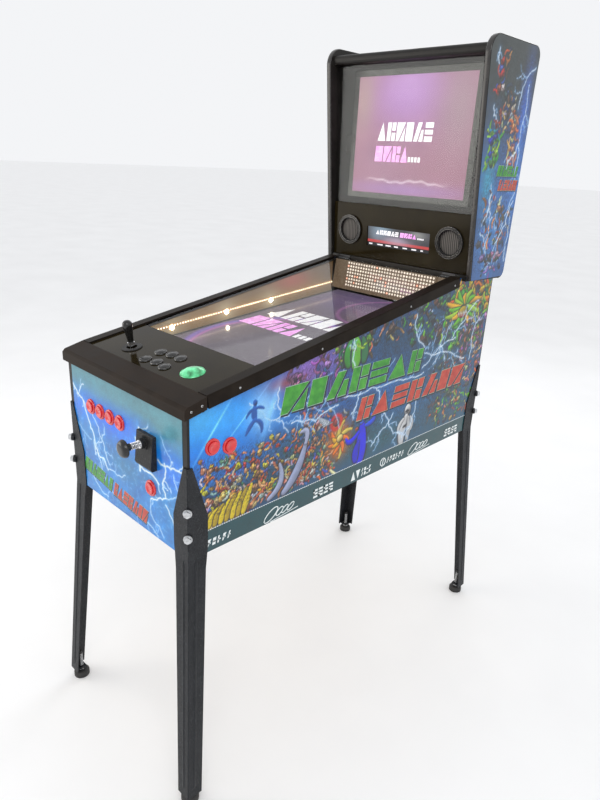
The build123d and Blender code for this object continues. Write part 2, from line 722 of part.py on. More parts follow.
def backbox_monitor():
    """Upright display with a stepped back cover and a bracket to each side board."""
    y = BACK_SCREEN_Y
    low, high = BACK_SCREEN_Z
    body = block((-BACK_SCREEN_HALF, BACK_SCREEN_HALF), (y, y + 18), (low, high))
    body += block((-150, 150), (y + 18, y + BACK_SCREEN_DEPTH), (low + 50, high - 50))
    body += block((-BACKBOX_INNER, BACKBOX_INNER), (y + 18, y + 24), (low + 120, low + 170))
    return body


def score_screen():
    """Wide, low display behind its opening between the speakers."""
    half = SCORE_SCREEN_HALF + SCORE_SCREEN_BORDER
    low, high = SCORE_SCREEN_UP
    up = (low - SCORE_SCREEN_BORDER, high + SCORE_SCREEN_BORDER)
    return face_block((-half, half), up, (6, 6 + SCORE_SCREEN_DEPTH))


def speaker_ring(place):
    ring = disc(SPEAKER_RING, 0, 6)
    ring = fillet(ring.faces().sort_by(Axis.Z)[-1].edges(), 2.5)
    return place * (ring - disc(SPEAKER_OPENING, -1, 7))


def speaker_driver(place):
    """Cone, basket and magnet behind the panel."""
    flange = disc(SPEAKER_RING, -9, -6)
    cone = Pos(0, 0, -21) * Cone(18, SPEAKER_OPENING, 24)
    bowl = Pos(0, 0, -18) * Cone(15, SPEAKER_OPENING - 3, 24.5)
    magnet = disc(26, -48, -33)
    return place * (flange + cone - bowl - disc(SPEAKER_OPENING - 3, -7, 0) + magnet)


# Backbox hinge: the lower leaf and its pin stay with the cabinet, the upper leaf turns
def hinge_bar(radius, x_low, x_high):
    return Pos((x_low + x_high) / 2, HINGE_Y, HINGE_Z) * Rot(0, 90, 0) * Cylinder(radius, x_high - x_low)


def hinge_lower():
    low, high = HINGE_X - HINGE_HALF, HINGE_X + HINGE_HALF
    leaf = block((low, high), (SHELF_FRONT - 2, SHELF_FRONT), (SHELF_TOP - 17, SHELF_TOP))
    for x in ((low, HINGE_X - KNUCKLE_SPLIT - 0.2), (HINGE_X + KNUCKLE_SPLIT + 0.2, high)):
        leaf += block(x, (SHELF_FRONT - 2, SHELF_FRONT - 0.5), (SHELF_TOP - 1, HINGE_Z))
        leaf += hinge_bar(KNUCKLE_RADIUS, *x)
    return leaf + hinge_bar(HINGE_PIN, low, high)


def hinge_upper():
    low, high = HINGE_X - HINGE_HALF, HINGE_X + HINGE_HALF
    middle = (HINGE_X - KNUCKLE_SPLIT, HINGE_X + KNUCKLE_SPLIT)
    leaf = block((low, high), (SHELF_FRONT - 2, SHELF_FRONT), (HINGE_Z + 4.4, BACKBOX_BASE + BACKBOX_BOARD))
    leaf += block(middle, (SHELF_FRONT - 2, SHELF_FRONT - 0.5), (HINGE_Z, HINGE_Z + 5))
    leaf += hinge_bar(KNUCKLE_RADIUS, *middle)
    return leaf - hinge_bar(HINGE_PIN + RUNNING_GAP, low, high)


# Power inlet, on a local frame whose Y axis points out of the rear panel
INLET_PLACE = Pos(INLET_X, CABINET_LENGTH, INLET_Z)


def power_inlet():
    """Flanged inlet with a three-pin socket and the opening of its rocker switch."""
    width, height, thick = INLET_FLANGE
    body_width, body_height, body_depth = INLET_BODY
    inlet = block((-width / 2, width / 2), (0, thick), (-height / 2, height / 2))
    inlet = fillet(inlet.edges().filter_by(Axis.Y), 3.0)
    inlet += block((-body_width / 2, body_width / 2), (-body_depth, 0), (-body_height / 2, body_height / 2))
    socket_width, socket_height = SOCKET_SIZE
    inlet -= block(
        (SOCKET_OFFSET - socket_width / 2, SOCKET_OFFSET + socket_width / 2),
        (thick - SOCKET_DEPTH, thick + 1),
        (-socket_height / 2, socket_height / 2),
    )
    for dx, dz in ((-7, -2), (0, 2), (7, -2)):
        x = SOCKET_OFFSET + dx
        inlet += block((x - 1, x + 1), (thick - SOCKET_DEPTH - 1, thick - 6), (dz - 2, dz + 2))
    slot = ROCKER_WIDTH / 2 + 0.3
    inlet -= block((ROCKER_OFFSET - slot, ROCKER_OFFSET + slot), (-body_depth + 6, thick + 1), (-11, 11))
    return INLET_PLACE * inlet


def power_rocker():
    """Rocker with two faces that meet in a shallow valley, tilted to its on side."""
    barrel = Rot(0, 90, 0) * Cylinder(ROCKER_RADIUS, ROCKER_WIDTH)
    for side in (1, -1):
        face = Rot(side * 7, 0, 0) * block((-20, 20), (6, 30), (-30, 30))
        barrel -= face
    return INLET_PLACE * Pos(ROCKER_OFFSET, -2, 0) * Rot(-ROCKER_TILT, 0, 0) * barrel


def computer():
    """Game computer case on the cabinet floor, with side vents."""
    base = CABINET_BOTTOM + FLOOR_BOARD
    case = block((-CASE_HALF, CASE_HALF), CASE_Y, (base + CASE_FOOT, base + CASE_FOOT + CASE_HEIGHT))
    case = fillet(case.edges().filter_by(Axis.Z), 6.0)
    for i in range(CASE_SLOTS):
        z = base + 40 + CASE_SLOT_PITCH * i
        case -= block((CASE_HALF - 4, CASE_HALF + 2), (CASE_Y[0] + 60, CASE_Y[1] - 60), (z, z + 5))
    for x in (CASE_HALF - 30, 30 - CASE_HALF):
        for y in (CASE_Y[0] + 30, CASE_Y[1] - 30):
            case += Pos(x, y, base + CASE_FOOT / 2) * Cylinder(10, CASE_FOOT)
    return case


os.makedirs("parts", exist_ok=True)

right_side = side_panel()
save("side_panel_right", right_side)
save("side_panel_left", mirrored(right_side))
save("front_panel", front_panel())
save("rear_panel", rear_panel())
save("floor_panel", floor_panel())
save("rear_shelf", rear_shelf())
save("corner_blocks", *at_corners(corner_block()))
save("lock_bar", lock_bar())
save("side_rails", *both_sides(side_rail()))
save("control_panel", control_panel())
save("playfield_glass", playfield_glass())
save("playfield_monitor", playfield_monitor())
save("led_strips", *both_sides(led_strip()))
save("matrix_panel", matrix_panel())

red_housing = button_housing(RED_RIM, RED_CAP, RED_BARREL, BOARD, 4.0)
black_housing = button_housing(BLACK_RIM, BLACK_CAP, BLACK_BARREL, CONTROL_PANEL, 2.5)
dome_housing = button_housing(DOME_RIM, DOME_CAP, DOME_BARREL, CONTROL_PANEL, 2.0)
red_places = FRONT_PLACES + [LAUNCH_PLACE] + list(FLIPPER_PLACES.values())
housings = [place * red_housing for place in red_places]
housings += [place * black_housing for place in PANEL_PLACES]
housings += [DOME_PLACE * dome_housing]
save("button_housings", *housings)

red_cap = dished_cap(RED_CAP, 7.0)
black_cap = domed_cap(BLACK_CAP, 2.5, 2.5)
for number, place in enumerate(FRONT_PLACES, 1):
    save(f"front_button_{number}", place * red_cap)
save("launch_button", LAUNCH_PLACE * red_cap)
for name, place in FLIPPER_PLACES.items():
    save(name, place * red_cap)
for number, place in enumerate(PANEL_PLACES, 1):
    save(f"panel_button_{number}", place * black_cap)
save("dome_button", DOME_PLACE * domed_cap(DOME_CAP, 2.0, DOME_HEIGHT))

save("joystick_base", *joystick_base())
save("joystick_gimbal", joystick_gimbal())
save("joystick_shaft", joystick_shaft())
save("joystick_handle", joystick_handle())

save("plunger_housing", plunger_housing())
save("plunger_rod", plunger_rod())
save("plunger_knob", plunger_knob())
save("plunger_spring", plunger_spring())

save("legs", *at_corners(leg()))
bolts = [piece for place in BOLT_PLACES for piece in leg_bolt(place)]
save("leg_bolts", *[copy for piece in bolts for copy in at_corners(piece)])
corner_names = ("front_right", "front_left", "rear_right", "rear_left")
for name, foot in zip(corner_names, at_corners(leveller())):
    save(f"leveller_{name}", foot)

save("power_inlet", power_inlet())
save("power_rocker", power_rocker())
save("computer", computer())

backbox_right = backbox_side()
save("backbox_side_right", backbox_right)
save("backbox_side_left", mirrored(backbox_right))
save("backbox_top", backbox_top())
save("backbox_floor", backbox_floor())
save("backbox_rear", backbox_rear())
save("backbox_glass", backbox_glass())
save("backbox_monitor", backbox_monitor(), score_screen())
save("speaker_panel", speaker_panel())
save("speaker_rings", *[speaker_ring(place) for place in speaker_places()])
save("speaker_drivers", *[speaker_driver(place) for place in speaker_places()])
save("hinge_lower", *both_sides(hinge_lower()))
save("hinge_upper", *both_sides(hinge_upper()))
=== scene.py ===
"""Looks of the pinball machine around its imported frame.

Places are given in millimetres in the machine's own frame: X to the player's right, Y backwards from the
front panel's face, Z up from the floor. place_point() turns them into the row frame in metres.
"""

import math
import random

import bmesh
import bpy
import numpy as np
from mathutils import Matrix, Vector


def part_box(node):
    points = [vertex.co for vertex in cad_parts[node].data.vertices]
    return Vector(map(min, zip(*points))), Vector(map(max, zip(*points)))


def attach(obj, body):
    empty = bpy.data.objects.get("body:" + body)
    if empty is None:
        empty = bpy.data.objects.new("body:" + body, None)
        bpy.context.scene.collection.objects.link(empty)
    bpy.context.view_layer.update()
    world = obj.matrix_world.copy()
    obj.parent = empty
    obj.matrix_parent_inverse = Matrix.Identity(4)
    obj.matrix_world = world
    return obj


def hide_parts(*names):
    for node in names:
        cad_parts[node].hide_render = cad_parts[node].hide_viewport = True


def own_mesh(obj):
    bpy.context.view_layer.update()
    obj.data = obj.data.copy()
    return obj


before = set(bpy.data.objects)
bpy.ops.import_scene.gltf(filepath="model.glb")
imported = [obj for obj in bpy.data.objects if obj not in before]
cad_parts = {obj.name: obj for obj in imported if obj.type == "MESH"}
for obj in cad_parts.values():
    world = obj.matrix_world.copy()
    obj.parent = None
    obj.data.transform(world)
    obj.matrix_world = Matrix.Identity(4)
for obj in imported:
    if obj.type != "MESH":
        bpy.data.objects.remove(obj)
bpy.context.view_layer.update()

MM = 0.001
FACE_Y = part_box("front_panel")[0].y
SIDES = {"right": 1, "left": -1}
UP = Vector((0, 0, 1))


def place_point(x, y, z):
    """Millimetres in the machine's frame, as metres in the row frame."""
    return Vector((x * MM, FACE_Y + y * MM, z * MM))


def machine_box(node):
    """A node's lowest and highest corner in the machine's frame, in millimetres."""
    low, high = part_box(node)
    shift = Vector((0, FACE_Y, 0))
    return (low - shift) / MM, (high - shift) / MM


# Driving sizes, read from the frame where a node has them
CABINET_LOW, CABINET_HIGH = machine_box("side_panel_right")
HALF = CABINET_HIGH.x
LENGTH = CABINET_HIGH.y
BOTTOM, SHELF_TOP = CABINET_LOW.z, CABINET_HIGH.z
BOARD = machine_box("front_panel")[1].y
INNER = HALF - BOARD
DECK_FRONT_Z, DECK_RISE = 936.0, 0.17
DECK_START, DECK_END = 42.0, 870.0
SCREEN_FRONT_Y, SCREEN_FRONT_Z, SCREEN_RISE = 168.0, 918.5, 0.088
STRIP_FRONT_Y, STRIP_REAR_Y, STRIP_FRONT_Z, STRIP_RISE = 206.0, 862.0, 947.0, 0.092
SKIN = 0.45
BACKBOX_HALF = machine_box("backbox_side_right")[1].x
BACKBOX_INNER = BACKBOX_HALF - BOARD
BACKBOX_OUTLINE = ((888.0, 1079.0), (828.0, 1648.0), (1073.0, 1648.0), (1060.0, 1075.0))
BACKBOX_RADII = (0.0, 40.0, 25.0, 22.0)
FACE_FRONT_Y, FACE_FRONT_Z, FACE_LEAN = 897.5, 1091.0, 0.075
BACK_SCREEN_DEPTH = 42.0
BACK_SCREEN_Y = machine_box("backbox_monitor")[1].y - BACK_SCREEN_DEPTH
SCORE_HALF, SCORE_UP, SCORE_SINK = 109.5, (38.5, 93.5), 5.65
PICTURE_LIFT = 0.35
PLAYFIELD_HALF, PLAYFIELD_Y = 199, (177, 882)
BACKGLASS_HALF, BACKGLASS_Z = 188, (1277, 1580)
RAIL_HALF = 232.0
STRIP_HALF = 207.0
BACK_BOARD_Y = 1058.0
SPEAKER_X, SPEAKER_UP = 173.0, 77.5
RED_HOLE = 15.2
FLIPPERS = ((58.0, 838.0), (100.0, 829.0))
FRONT_BUTTONS = ((-130.0, 825.0), (-90.0, 825.0), (-50.0, 825.0), (-10.0, 825.0))
LAUNCH = (100.0, 718.0)
SHOOTER = (95.0, 820.0)
PANEL_BUTTONS = ((-19.0, 72.0), (15.0, 77.0), (49.0, 73.0), (-22.0, 112.0), (10.0, 119.0), (42.0, 118.0))
DOME = (119.0, 92.0)
RED_RIM = (17.5, 12.5, 14.5, 15, 4.0)
LED_PITCH = 8.2
FLASH_YZ = ((268.0, 948.0), (443.0, 966.0), (604.0, 979.0))
LEG_SPLAY = 44.0
RIB_HIGH, RIB_LOW = 596.0, 52.0


def deck_height(y):
    """Height of the sloping deck, where the glass and the control panel lie."""
    return DECK_FRONT_Z + DECK_RISE * y


def screen_height(y):
    """Height of the playfield display's face."""
    return SCREEN_FRONT_Z + SCREEN_RISE * (y - SCREEN_FRONT_Y)


def strip_height(y):
    """Height of the light strips along the inner walls."""
    return STRIP_FRONT_Z + STRIP_RISE * (y - STRIP_FRONT_Y)


def wall_height(y, t):
    """Height on an inner wall, from just above the display (0) to just below the glass (1)."""
    foot = screen_height(y)
    return foot + 0.6 + t * (deck_height(y) - 10.6 - foot)


class Place:
    """A local frame in millimetres, whose third axis points out of the surface it stands on."""

    def __init__(self, origin, across, out):
        self.origin = Vector(origin)
        self.x = Vector(across).normalized()
        self.z = Vector(out).normalized()
        self.y = self.z.cross(self.x)

    def point(self, x, y, z):
        """A point of this frame, in the machine's frame."""
        return self.origin + self.x * x + self.y * y + self.z * z

    def moved(self, x, y, z=0.0):
        """The same frame with its origin moved along its own axes."""
        return Place(self.point(x, y, z), self.x, self.z)


def front_place(x, z):
    """A frame on the cabinet's front."""
    return Place((x, 0, z), (1, 0, 0), (0, -1, 0))


def side_place(y, z, side):
    """A frame on a cabinet side."""
    return Place((side * HALF, y, z), (0, side, 0), (side, 0, 0))


def deck_place(x, y):
    """A frame on the deck."""
    return Place((x, y, deck_height(y)), (1, 0, 0), (0, -DECK_RISE, 1))


def face_place(x, up):
    """A frame on the backbox's leaning face, measured up that face."""
    lean = math.atan(FACE_LEAN)
    y = FACE_FRONT_Y - up * math.sin(lean)
    z = FACE_FRONT_Z + up * math.cos(lean)
    return Place((x, y, z), (1, 0, 0), (0, -math.cos(lean), -math.sin(lean)))


# ---------------------------------------------------------------- meshes
class Shape:
    """Collects vertices, faces and material numbers for one piece."""

    def __init__(self):
        self.verts, self.faces, self.marks = [], [], []

    def add(self, verts, faces, mark=0):
        """Adds faces that share a material number."""
        start = len(self.verts)
        self.verts.extend(Vector(v) for v in verts)
        self.faces.extend(tuple(start + i for i in face) for face in faces)
        self.marks.extend([mark] * len(faces))

    def lathe(self, place, profile, segments=40, mark=0, closed=False):
        """Turns (radius, height) points about the place's third axis. A closed profile makes a ring."""
        rings, verts = [], []
        for radius, height in profile:
            if radius < 1e-6:
                rings.append([len(verts)] * segments)
                verts.append(place.point(0, 0, height))
                continue
            rings.append(list(range(len(verts), len(verts) + segments)))
            for i in range(segments):
                turn = 2 * math.pi * i / segments
                verts.append(place.point(radius * math.cos(turn), radius * math.sin(turn), height))
        faces = []
        pairs = list(zip(rings, rings[1:]))
        if closed:
            pairs.append((rings[-1], rings[0]))
        for low, high in pairs:
            for i in range(segments):
                j = (i + 1) % segments
                face = [low[i], low[j], high[j], high[i]]
                face = [v for k, v in enumerate(face) if v not in face[:k]]
                if len(face) > 2:
                    faces.append(face)
        self.add(verts, faces, mark)

    def prism(self, place, outline, low, high, mark=0):
        """Extrudes a flat outline of (x, y) points between two heights."""
        count = len(outline)
        verts = [place.point(x, y, low) for x, y in outline] + [place.point(x, y, high) for x, y in outline]
        faces = [tuple(reversed(range(count))), tuple(range(count, 2 * count))]
        faces += [(i, (i + 1) % count, count + (i + 1) % count, count + i) for i in range(count)]
        self.add(verts, faces, mark)

    def block(self, place, x, y, z, mark=0):
        """A box between two limits on each axis."""
        self.prism(place, ((x[0], y[0]), (x[1], y[0]), (x[1], y[1]), (x[0], y[1])), z[0], z[1], mark)

    def strip(self, rows, mark=0, closed=False, capped=False):
        """Joins rows of equal length into quads. Closed rows make a tube, capped ends fill it."""
        width = len(rows[0])
        faces = []
        for r in range(len(rows) - 1):
            for i in range(width if closed else width - 1):
                j = (i + 1) % width
                faces.append((r * width + i, r * width + j, (r + 1) * width + j, (r + 1) * width + i))
        if capped:
            last = (len(rows) - 1) * width
            faces.append(tuple(reversed(range(width))))
            faces.append(tuple(range(last, last + width)))
        self.add([v for row in rows for v in row], faces, mark)

    def tube(self, points, radius, sides=10, mark=0):
        """A round wire along a line of points."""
        rows = []
        for i, point in enumerate(points):
            ahead = Vector(points[min(i + 1, len(points) - 1)]) - Vector(points[max(i - 1, 0)])
            ahead.normalize()
            across = ahead.cross(UP if abs(ahead.z) < 0.9 else Vector((1, 0, 0))).normalized()
            over = ahead.cross(across)
            turns = [2 * math.pi * k / sides for k in range(sides)]
            rows.append([Vector(point) + radius * (math.cos(t) * across + math.sin(t) * over) for t in turns])
        self.strip(rows, mark, closed=True, capped=True)


def piece(name, shape, body, materials, bevel=0.0, smooth_angle=35.0, replaces=()):
    """Makes the object, in place, riding on its body."""
    mesh = bpy.data.meshes.new(name)
    mesh.from_pydata([place_point(*v) for v in shape.verts], [], shape.faces)
    mesh.polygons.foreach_set("material_index", shape.marks)
    for material in materials if isinstance(materials, (list, tuple)) else [materials]:
        mesh.materials.append(material)
    mesh.validate()
    mesh.update()
    obj = bpy.data.objects.new(name, mesh)
    bpy.context.scene.collection.objects.link(obj)
    turn_faces_out(mesh)
    if bevel:
        cut = obj.modifiers.new("edges", "BEVEL")
        cut.width = bevel * MM
        cut.segments = 2
        cut.limit_method = "ANGLE"
        cut.angle_limit = math.radians(40)
    mesh.shade_smooth()
    mesh.set_sharp_from_angle(angle=math.radians(smooth_angle))
    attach(obj, body)
    if replaces:
        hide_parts(*replaces)
    return obj


def turn_faces_out(mesh):
    """Makes every face of a closed mesh look outwards."""
    work = bmesh.new()
    work.from_mesh(mesh)
    bmesh.ops.recalc_face_normals(work, faces=work.faces)
    work.to_mesh(mesh)
    work.free()


def rounded_outline(points, radii, steps=10):
    """A closed outline with its corners rounded, as dense points."""
    result = []
    count = len(points)
    for i, radius in enumerate(radii):
        corner = Vector(points[i])
        before = (Vector(points[i - 1]) - corner).normalized()
        after = (Vector(points[(i + 1) % count]) - corner).normalized()
        if radius <= 0:
            result.append(corner)
            continue
        half = before.angle(after) / 2
        centre = corner + (before + after).normalized() * radius / math.sin(half)
        start = corner + before * radius / math.tan(half) - centre
        end = corner + after * radius / math.tan(half) - centre
        a0, a1 = math.atan2(start.y, start.x), math.atan2(end.y, end.x)
        sweep = (a1 - a0 + math.pi) % (2 * math.pi) - math.pi
        for k in range(steps + 1):
            turn = a0 + sweep * k / steps
            result.append(centre + radius * Vector((math.cos(turn), math.sin(turn))))
    return result


# ---------------------------------------------------------------- materials
def new_material(name):
    """A material with its node tree and its main shader."""
    material = bpy.data.materials.new(name)
    material.use_nodes = True
    return material, material.node_tree, material.node_tree.nodes["Principled BSDF"]


def add_node(tree, kind, **values):
    """A shader node with values for its inputs or its own settings."""
    node = tree.nodes.new(kind)
    for key, value in values.items():
        if key in node.inputs:
            node.inputs[key].default_value = value
        else:
            setattr(node, key, value)
    return node


def noise(tree, scale, detail=3.0, stretch=(1, 1, 1)):
    """Noise in the piece's own coordinates; scale counts features per metre."""
    coords = add_node(tree, "ShaderNodeTexCoord")
    mapping = add_node(tree, "ShaderNodeMapping")
    mapping.inputs["Scale"].default_value = stretch
    tree.links.new(coords.outputs["Object"], mapping.inputs["Vector"])
    texture = add_node(tree, "ShaderNodeTexNoise")
    preset(texture, Scale=scale, Detail=detail)
    tree.links.new(mapping.outputs["Vector"], texture.inputs["Vector"])
    return texture


def spread(tree, source, low, high, start=0.3, end=0.7):
    """Maps a texture's grey value to a range."""
    node = add_node(tree, "ShaderNodeMapRange")
    preset(node, From_Min=start, From_Max=end, To_Min=low, To_Max=high)
    tree.links.new(source, node.inputs["Value"])
    return node.outputs["Result"]


def mixed(tree, factor, first, second):
    """A colour between two others, which may be colours or sockets."""
    node = add_node(tree, "ShaderNodeMix", data_type="RGBA")
    tree.links.new(factor, node.inputs["Factor"])
    for socket, value in ((node.inputs[6], first), (node.inputs[7], second)):
        if isinstance(value, bpy.types.NodeSocket):
            tree.links.new(value, socket)
        else:
            socket.default_value = (*value, 1.0)
    return node.outputs[2]


def mottled(tree, texture, dark, light, start=0.3, end=0.7):
    """Two colours mixed by a texture."""
    return mixed(tree, spread(tree, texture.outputs["Fac"], 0.0, 1.0, start, end), dark, light)


def scaled(tree, colour, factor):
    """A colour socket made brighter or darker, by a socket or a number."""
    node = add_node(tree, "ShaderNodeVectorMath", operation="SCALE")
    tree.links.new(colour, node.inputs[0])
    if isinstance(factor, bpy.types.NodeSocket):
        tree.links.new(factor, node.inputs["Scale"])
    else:
        node.inputs["Scale"].default_value = factor
    return node.outputs["Vector"]


def roughen(tree, shader, texture, low, high):
    """A roughness that varies with a texture."""
    tree.links.new(spread(tree, texture.outputs["Fac"], low, high), shader.inputs["Roughness"])


def preset(shader, **values):
    """Constant values, set on a shader's own sockets."""
    for name, value in values.items():
        shader.inputs[name.replace("_", " ")].default_value = value


def bumped(tree, bsdf, height, strength, distance):
    """Relief from a texture, in millimetres."""
    node = add_node(tree, "ShaderNodeBump")
    preset(node, Strength=strength, Distance=distance * MM)
    tree.links.new(height, node.inputs["Height"])
    tree.links.new(node.outputs["Normal"], bsdf.inputs["Normal"])


def finish(name, dark, light, rough, mottle=40.0, grain=900.0, bump=0.1, depth=0.2, metallic=0.0, coat=0.0,
           stretch=(1, 1, 1), specular=0.5, glow=None):
    """Two mottled tones, a roughness that varies with them, and a fine bumped grain."""
    material, tree, bsdf = new_material(name)
    broad = noise(tree, mottle, 4.0, stretch)
    fine = noise(tree, grain, 2.0, stretch)
    colour = mottled(tree, broad, dark, light)
    tree.links.new(colour, bsdf.inputs["Base Color"])
    roughen(tree, bsdf, broad, rough[0], rough[1])
    bumped(tree, bsdf, fine.outputs["Fac"], bump, depth)
    preset(bsdf, Metallic=metallic, Specular_IOR_Level=specular, Coat_Weight=coat, Coat_Roughness=0.08)
    if glow:
        tree.links.new(mottled(tree, broad, glow[0], glow[1]), bsdf.inputs["Emission Color"])
        bsdf.inputs["Emission Strength"].default_value = glow[2]
    return material


def hammered(name, dark, light, fleck):
    """Textured powder coat: pebbled bump, with pale flecks painted into its colour as glints that catch the
    light.
    """
    material, tree, bsdf = new_material(name)
    broad = noise(tree, 25.0, 3.0)
    pebble = noise(tree, 520.0, 2.0)
    sparkle = noise(tree, 900.0, 1.0)
    base = mottled(tree, broad, dark, light)
    # Pale flecks mixed into the colour: painted glints.
    colour = mottled(tree, sparkle, base, fleck, 0.62, 0.74)
    tree.links.new(colour, bsdf.inputs["Base Color"])
    roughen(tree, bsdf, pebble, 0.34, 0.62)
    bsdf.inputs["Specular IOR Level"].default_value = 0.28
    bumped(tree, bsdf, pebble.outputs["Fac"], 0.55, 0.5)
    return material


def painted_art(name, gloss=0.28):
    """Printed vinyl: colours painted on the vertices, with a print screen grain and a thin clear film."""
    material, tree, bsdf = new_material(name)
    paint = add_node(tree, "ShaderNodeVertexColor", layer_name="paint")
    grain = noise(tree, 700.0, 2.0)
    wash = noise(tree, 60.0, 4.0)
    grained = scaled(tree, paint.outputs["Color"], spread(tree, grain.outputs["Fac"], 0.70, 1.02))
    washed = scaled(tree, grained, spread(tree, wash.outputs["Fac"], 0.9, 1.1))
    tree.links.new(washed, bsdf.inputs["Base Color"])
    roughen(tree, bsdf, wash, gloss, gloss + 0.12)
    preset(bsdf, Coat_Weight=0.35, Coat_Roughness=0.12)
    bumped(tree, bsdf, wash.outputs["Fac"], 0.06, 0.3)
    return material


def lit_picture(name, strength, gloss=0.16, base=0.25):
    """A display's lit picture behind its glossy panel, with a fine grain. The inner walls' painted light uses
    it too.
    """
    material, tree, bsdf = new_material(name)
    paint = add_node(tree, "ShaderNodeVertexColor", layer_name="paint")
    grid = noise(tree, 260.0, 1.0)
    haze = noise(tree, 9.0, 3.0)
    lit = scaled(tree, paint.outputs["Color"], spread(tree, grid.outputs["Fac"], 0.95, 1.05))
    tree.links.new(lit, bsdf.inputs["Emission Color"])
    tree.links.new(scaled(tree, lit, base), bsdf.inputs["Base Color"])
    preset(bsdf, Emission_Strength=strength, Specular_IOR_Level=0.15)
    roughen(tree, bsdf, haze, gloss * 0.7, gloss * 1.3)
    return material


def clear_sheet(name, tint, roughness):
    """Thin glass: see-through, with a mirror gloss that grows at low angles."""
    material = bpy.data.materials.new(name)
    material.use_nodes = True
    tree = material.node_tree
    tree.nodes.clear()
    out = add_node(tree, "ShaderNodeOutputMaterial")
    clear = add_node(tree, "ShaderNodeBsdfTransparent")
    gloss = add_node(tree, "ShaderNodeBsdfGlossy")
    facing = add_node(tree, "ShaderNodeLayerWeight")
    rise = add_node(tree, "ShaderNodeMath", operation="POWER")
    rise.inputs[1].default_value = 5.0
    tree.links.new(facing.outputs["Facing"], rise.inputs[0])
    smear = noise(tree, 14.0, 3.0, (1, 0.4, 1))
    tree.links.new(mottled(tree, smear, tint, tuple(c * 0.98 for c in tint)),
                   clear.inputs["Color"])
    roughen(tree, gloss, smear, roughness, roughness * 2.2)
    gloss.inputs["Color"].default_value = (0.95, 0.97, 1.0, 1)
    blend = add_node(tree, "ShaderNodeMixShader")
    tree.links.new(spread(tree, rise.outputs["Value"], 0.02, 0.42, 0.0, 1.0), blend.inputs["Fac"])
    tree.links.new(clear.outputs["BSDF"], blend.inputs[1])
    tree.links.new(gloss.outputs["BSDF"], blend.inputs[2])
    tree.links.new(blend.outputs["Shader"], out.inputs["Surface"])
    return material


def lamp(name, colour, strength, vary=0.25):
    """A small lit lens, brighter and dimmer from one to the next."""
    material, tree, bsdf = new_material(name)
    patches = noise(tree, 70.0, 1.0)
    fine = noise(tree, 600.0, 1.0)
    dim = tuple(c * (1 - vary) for c in colour)
    tree.links.new(mottled(tree, patches, dim, colour),
                   bsdf.inputs["Emission Color"])
    preset(bsdf, Emission_Strength=strength, Base_Color=(*dim, 1))
    roughen(tree, bsdf, fine, 0.2, 0.4)
    return material


def translucent_plastic(name, dark, light, glow):
    """Tinted moulded plastic lit a little from inside."""
    material, tree, bsdf = new_material(name)
    swirl = noise(tree, 62.0, 2.0)
    fine = noise(tree, 420.0, 2.0)
    colour = mottled(tree, swirl, dark, light)
    tree.links.new(colour, bsdf.inputs["Base Color"])
    tree.links.new(colour, bsdf.inputs["Emission Color"])
    preset(bsdf, Emission_Strength=glow, Coat_Weight=0.8, Coat_Roughness=0.05)
    roughen(tree, bsdf, fine, 0.12, 0.26)
    bumped(tree, bsdf, swirl.outputs["Fac"], 0.35, 0.8)
    return material


def speaker_weave(name):
    """Black cloth with fine upright ribs."""
    material, tree, bsdf = new_material(name)
    coords = add_node(tree, "ShaderNodeTexCoord")
    rib = add_node(tree, "ShaderNodeTexWave", bands_direction="X")
    rib.inputs["Scale"].default_value = 55.0
    tree.links.new(coords.outputs["Object"], rib.inputs["Vector"])
    fuzz = noise(tree, 1300.0, 2.0)
    tree.links.new(mixed(tree, rib.outputs["Fac"], (0.010, 0.009, 0.008), (0.15, 0.135, 0.12)),
                   bsdf.inputs["Base Color"])
    roughen(tree, bsdf, fuzz, 0.6, 0.85)
    bumped(tree, bsdf, rib.outputs["Fac"], 0.6, 0.5)
    return material


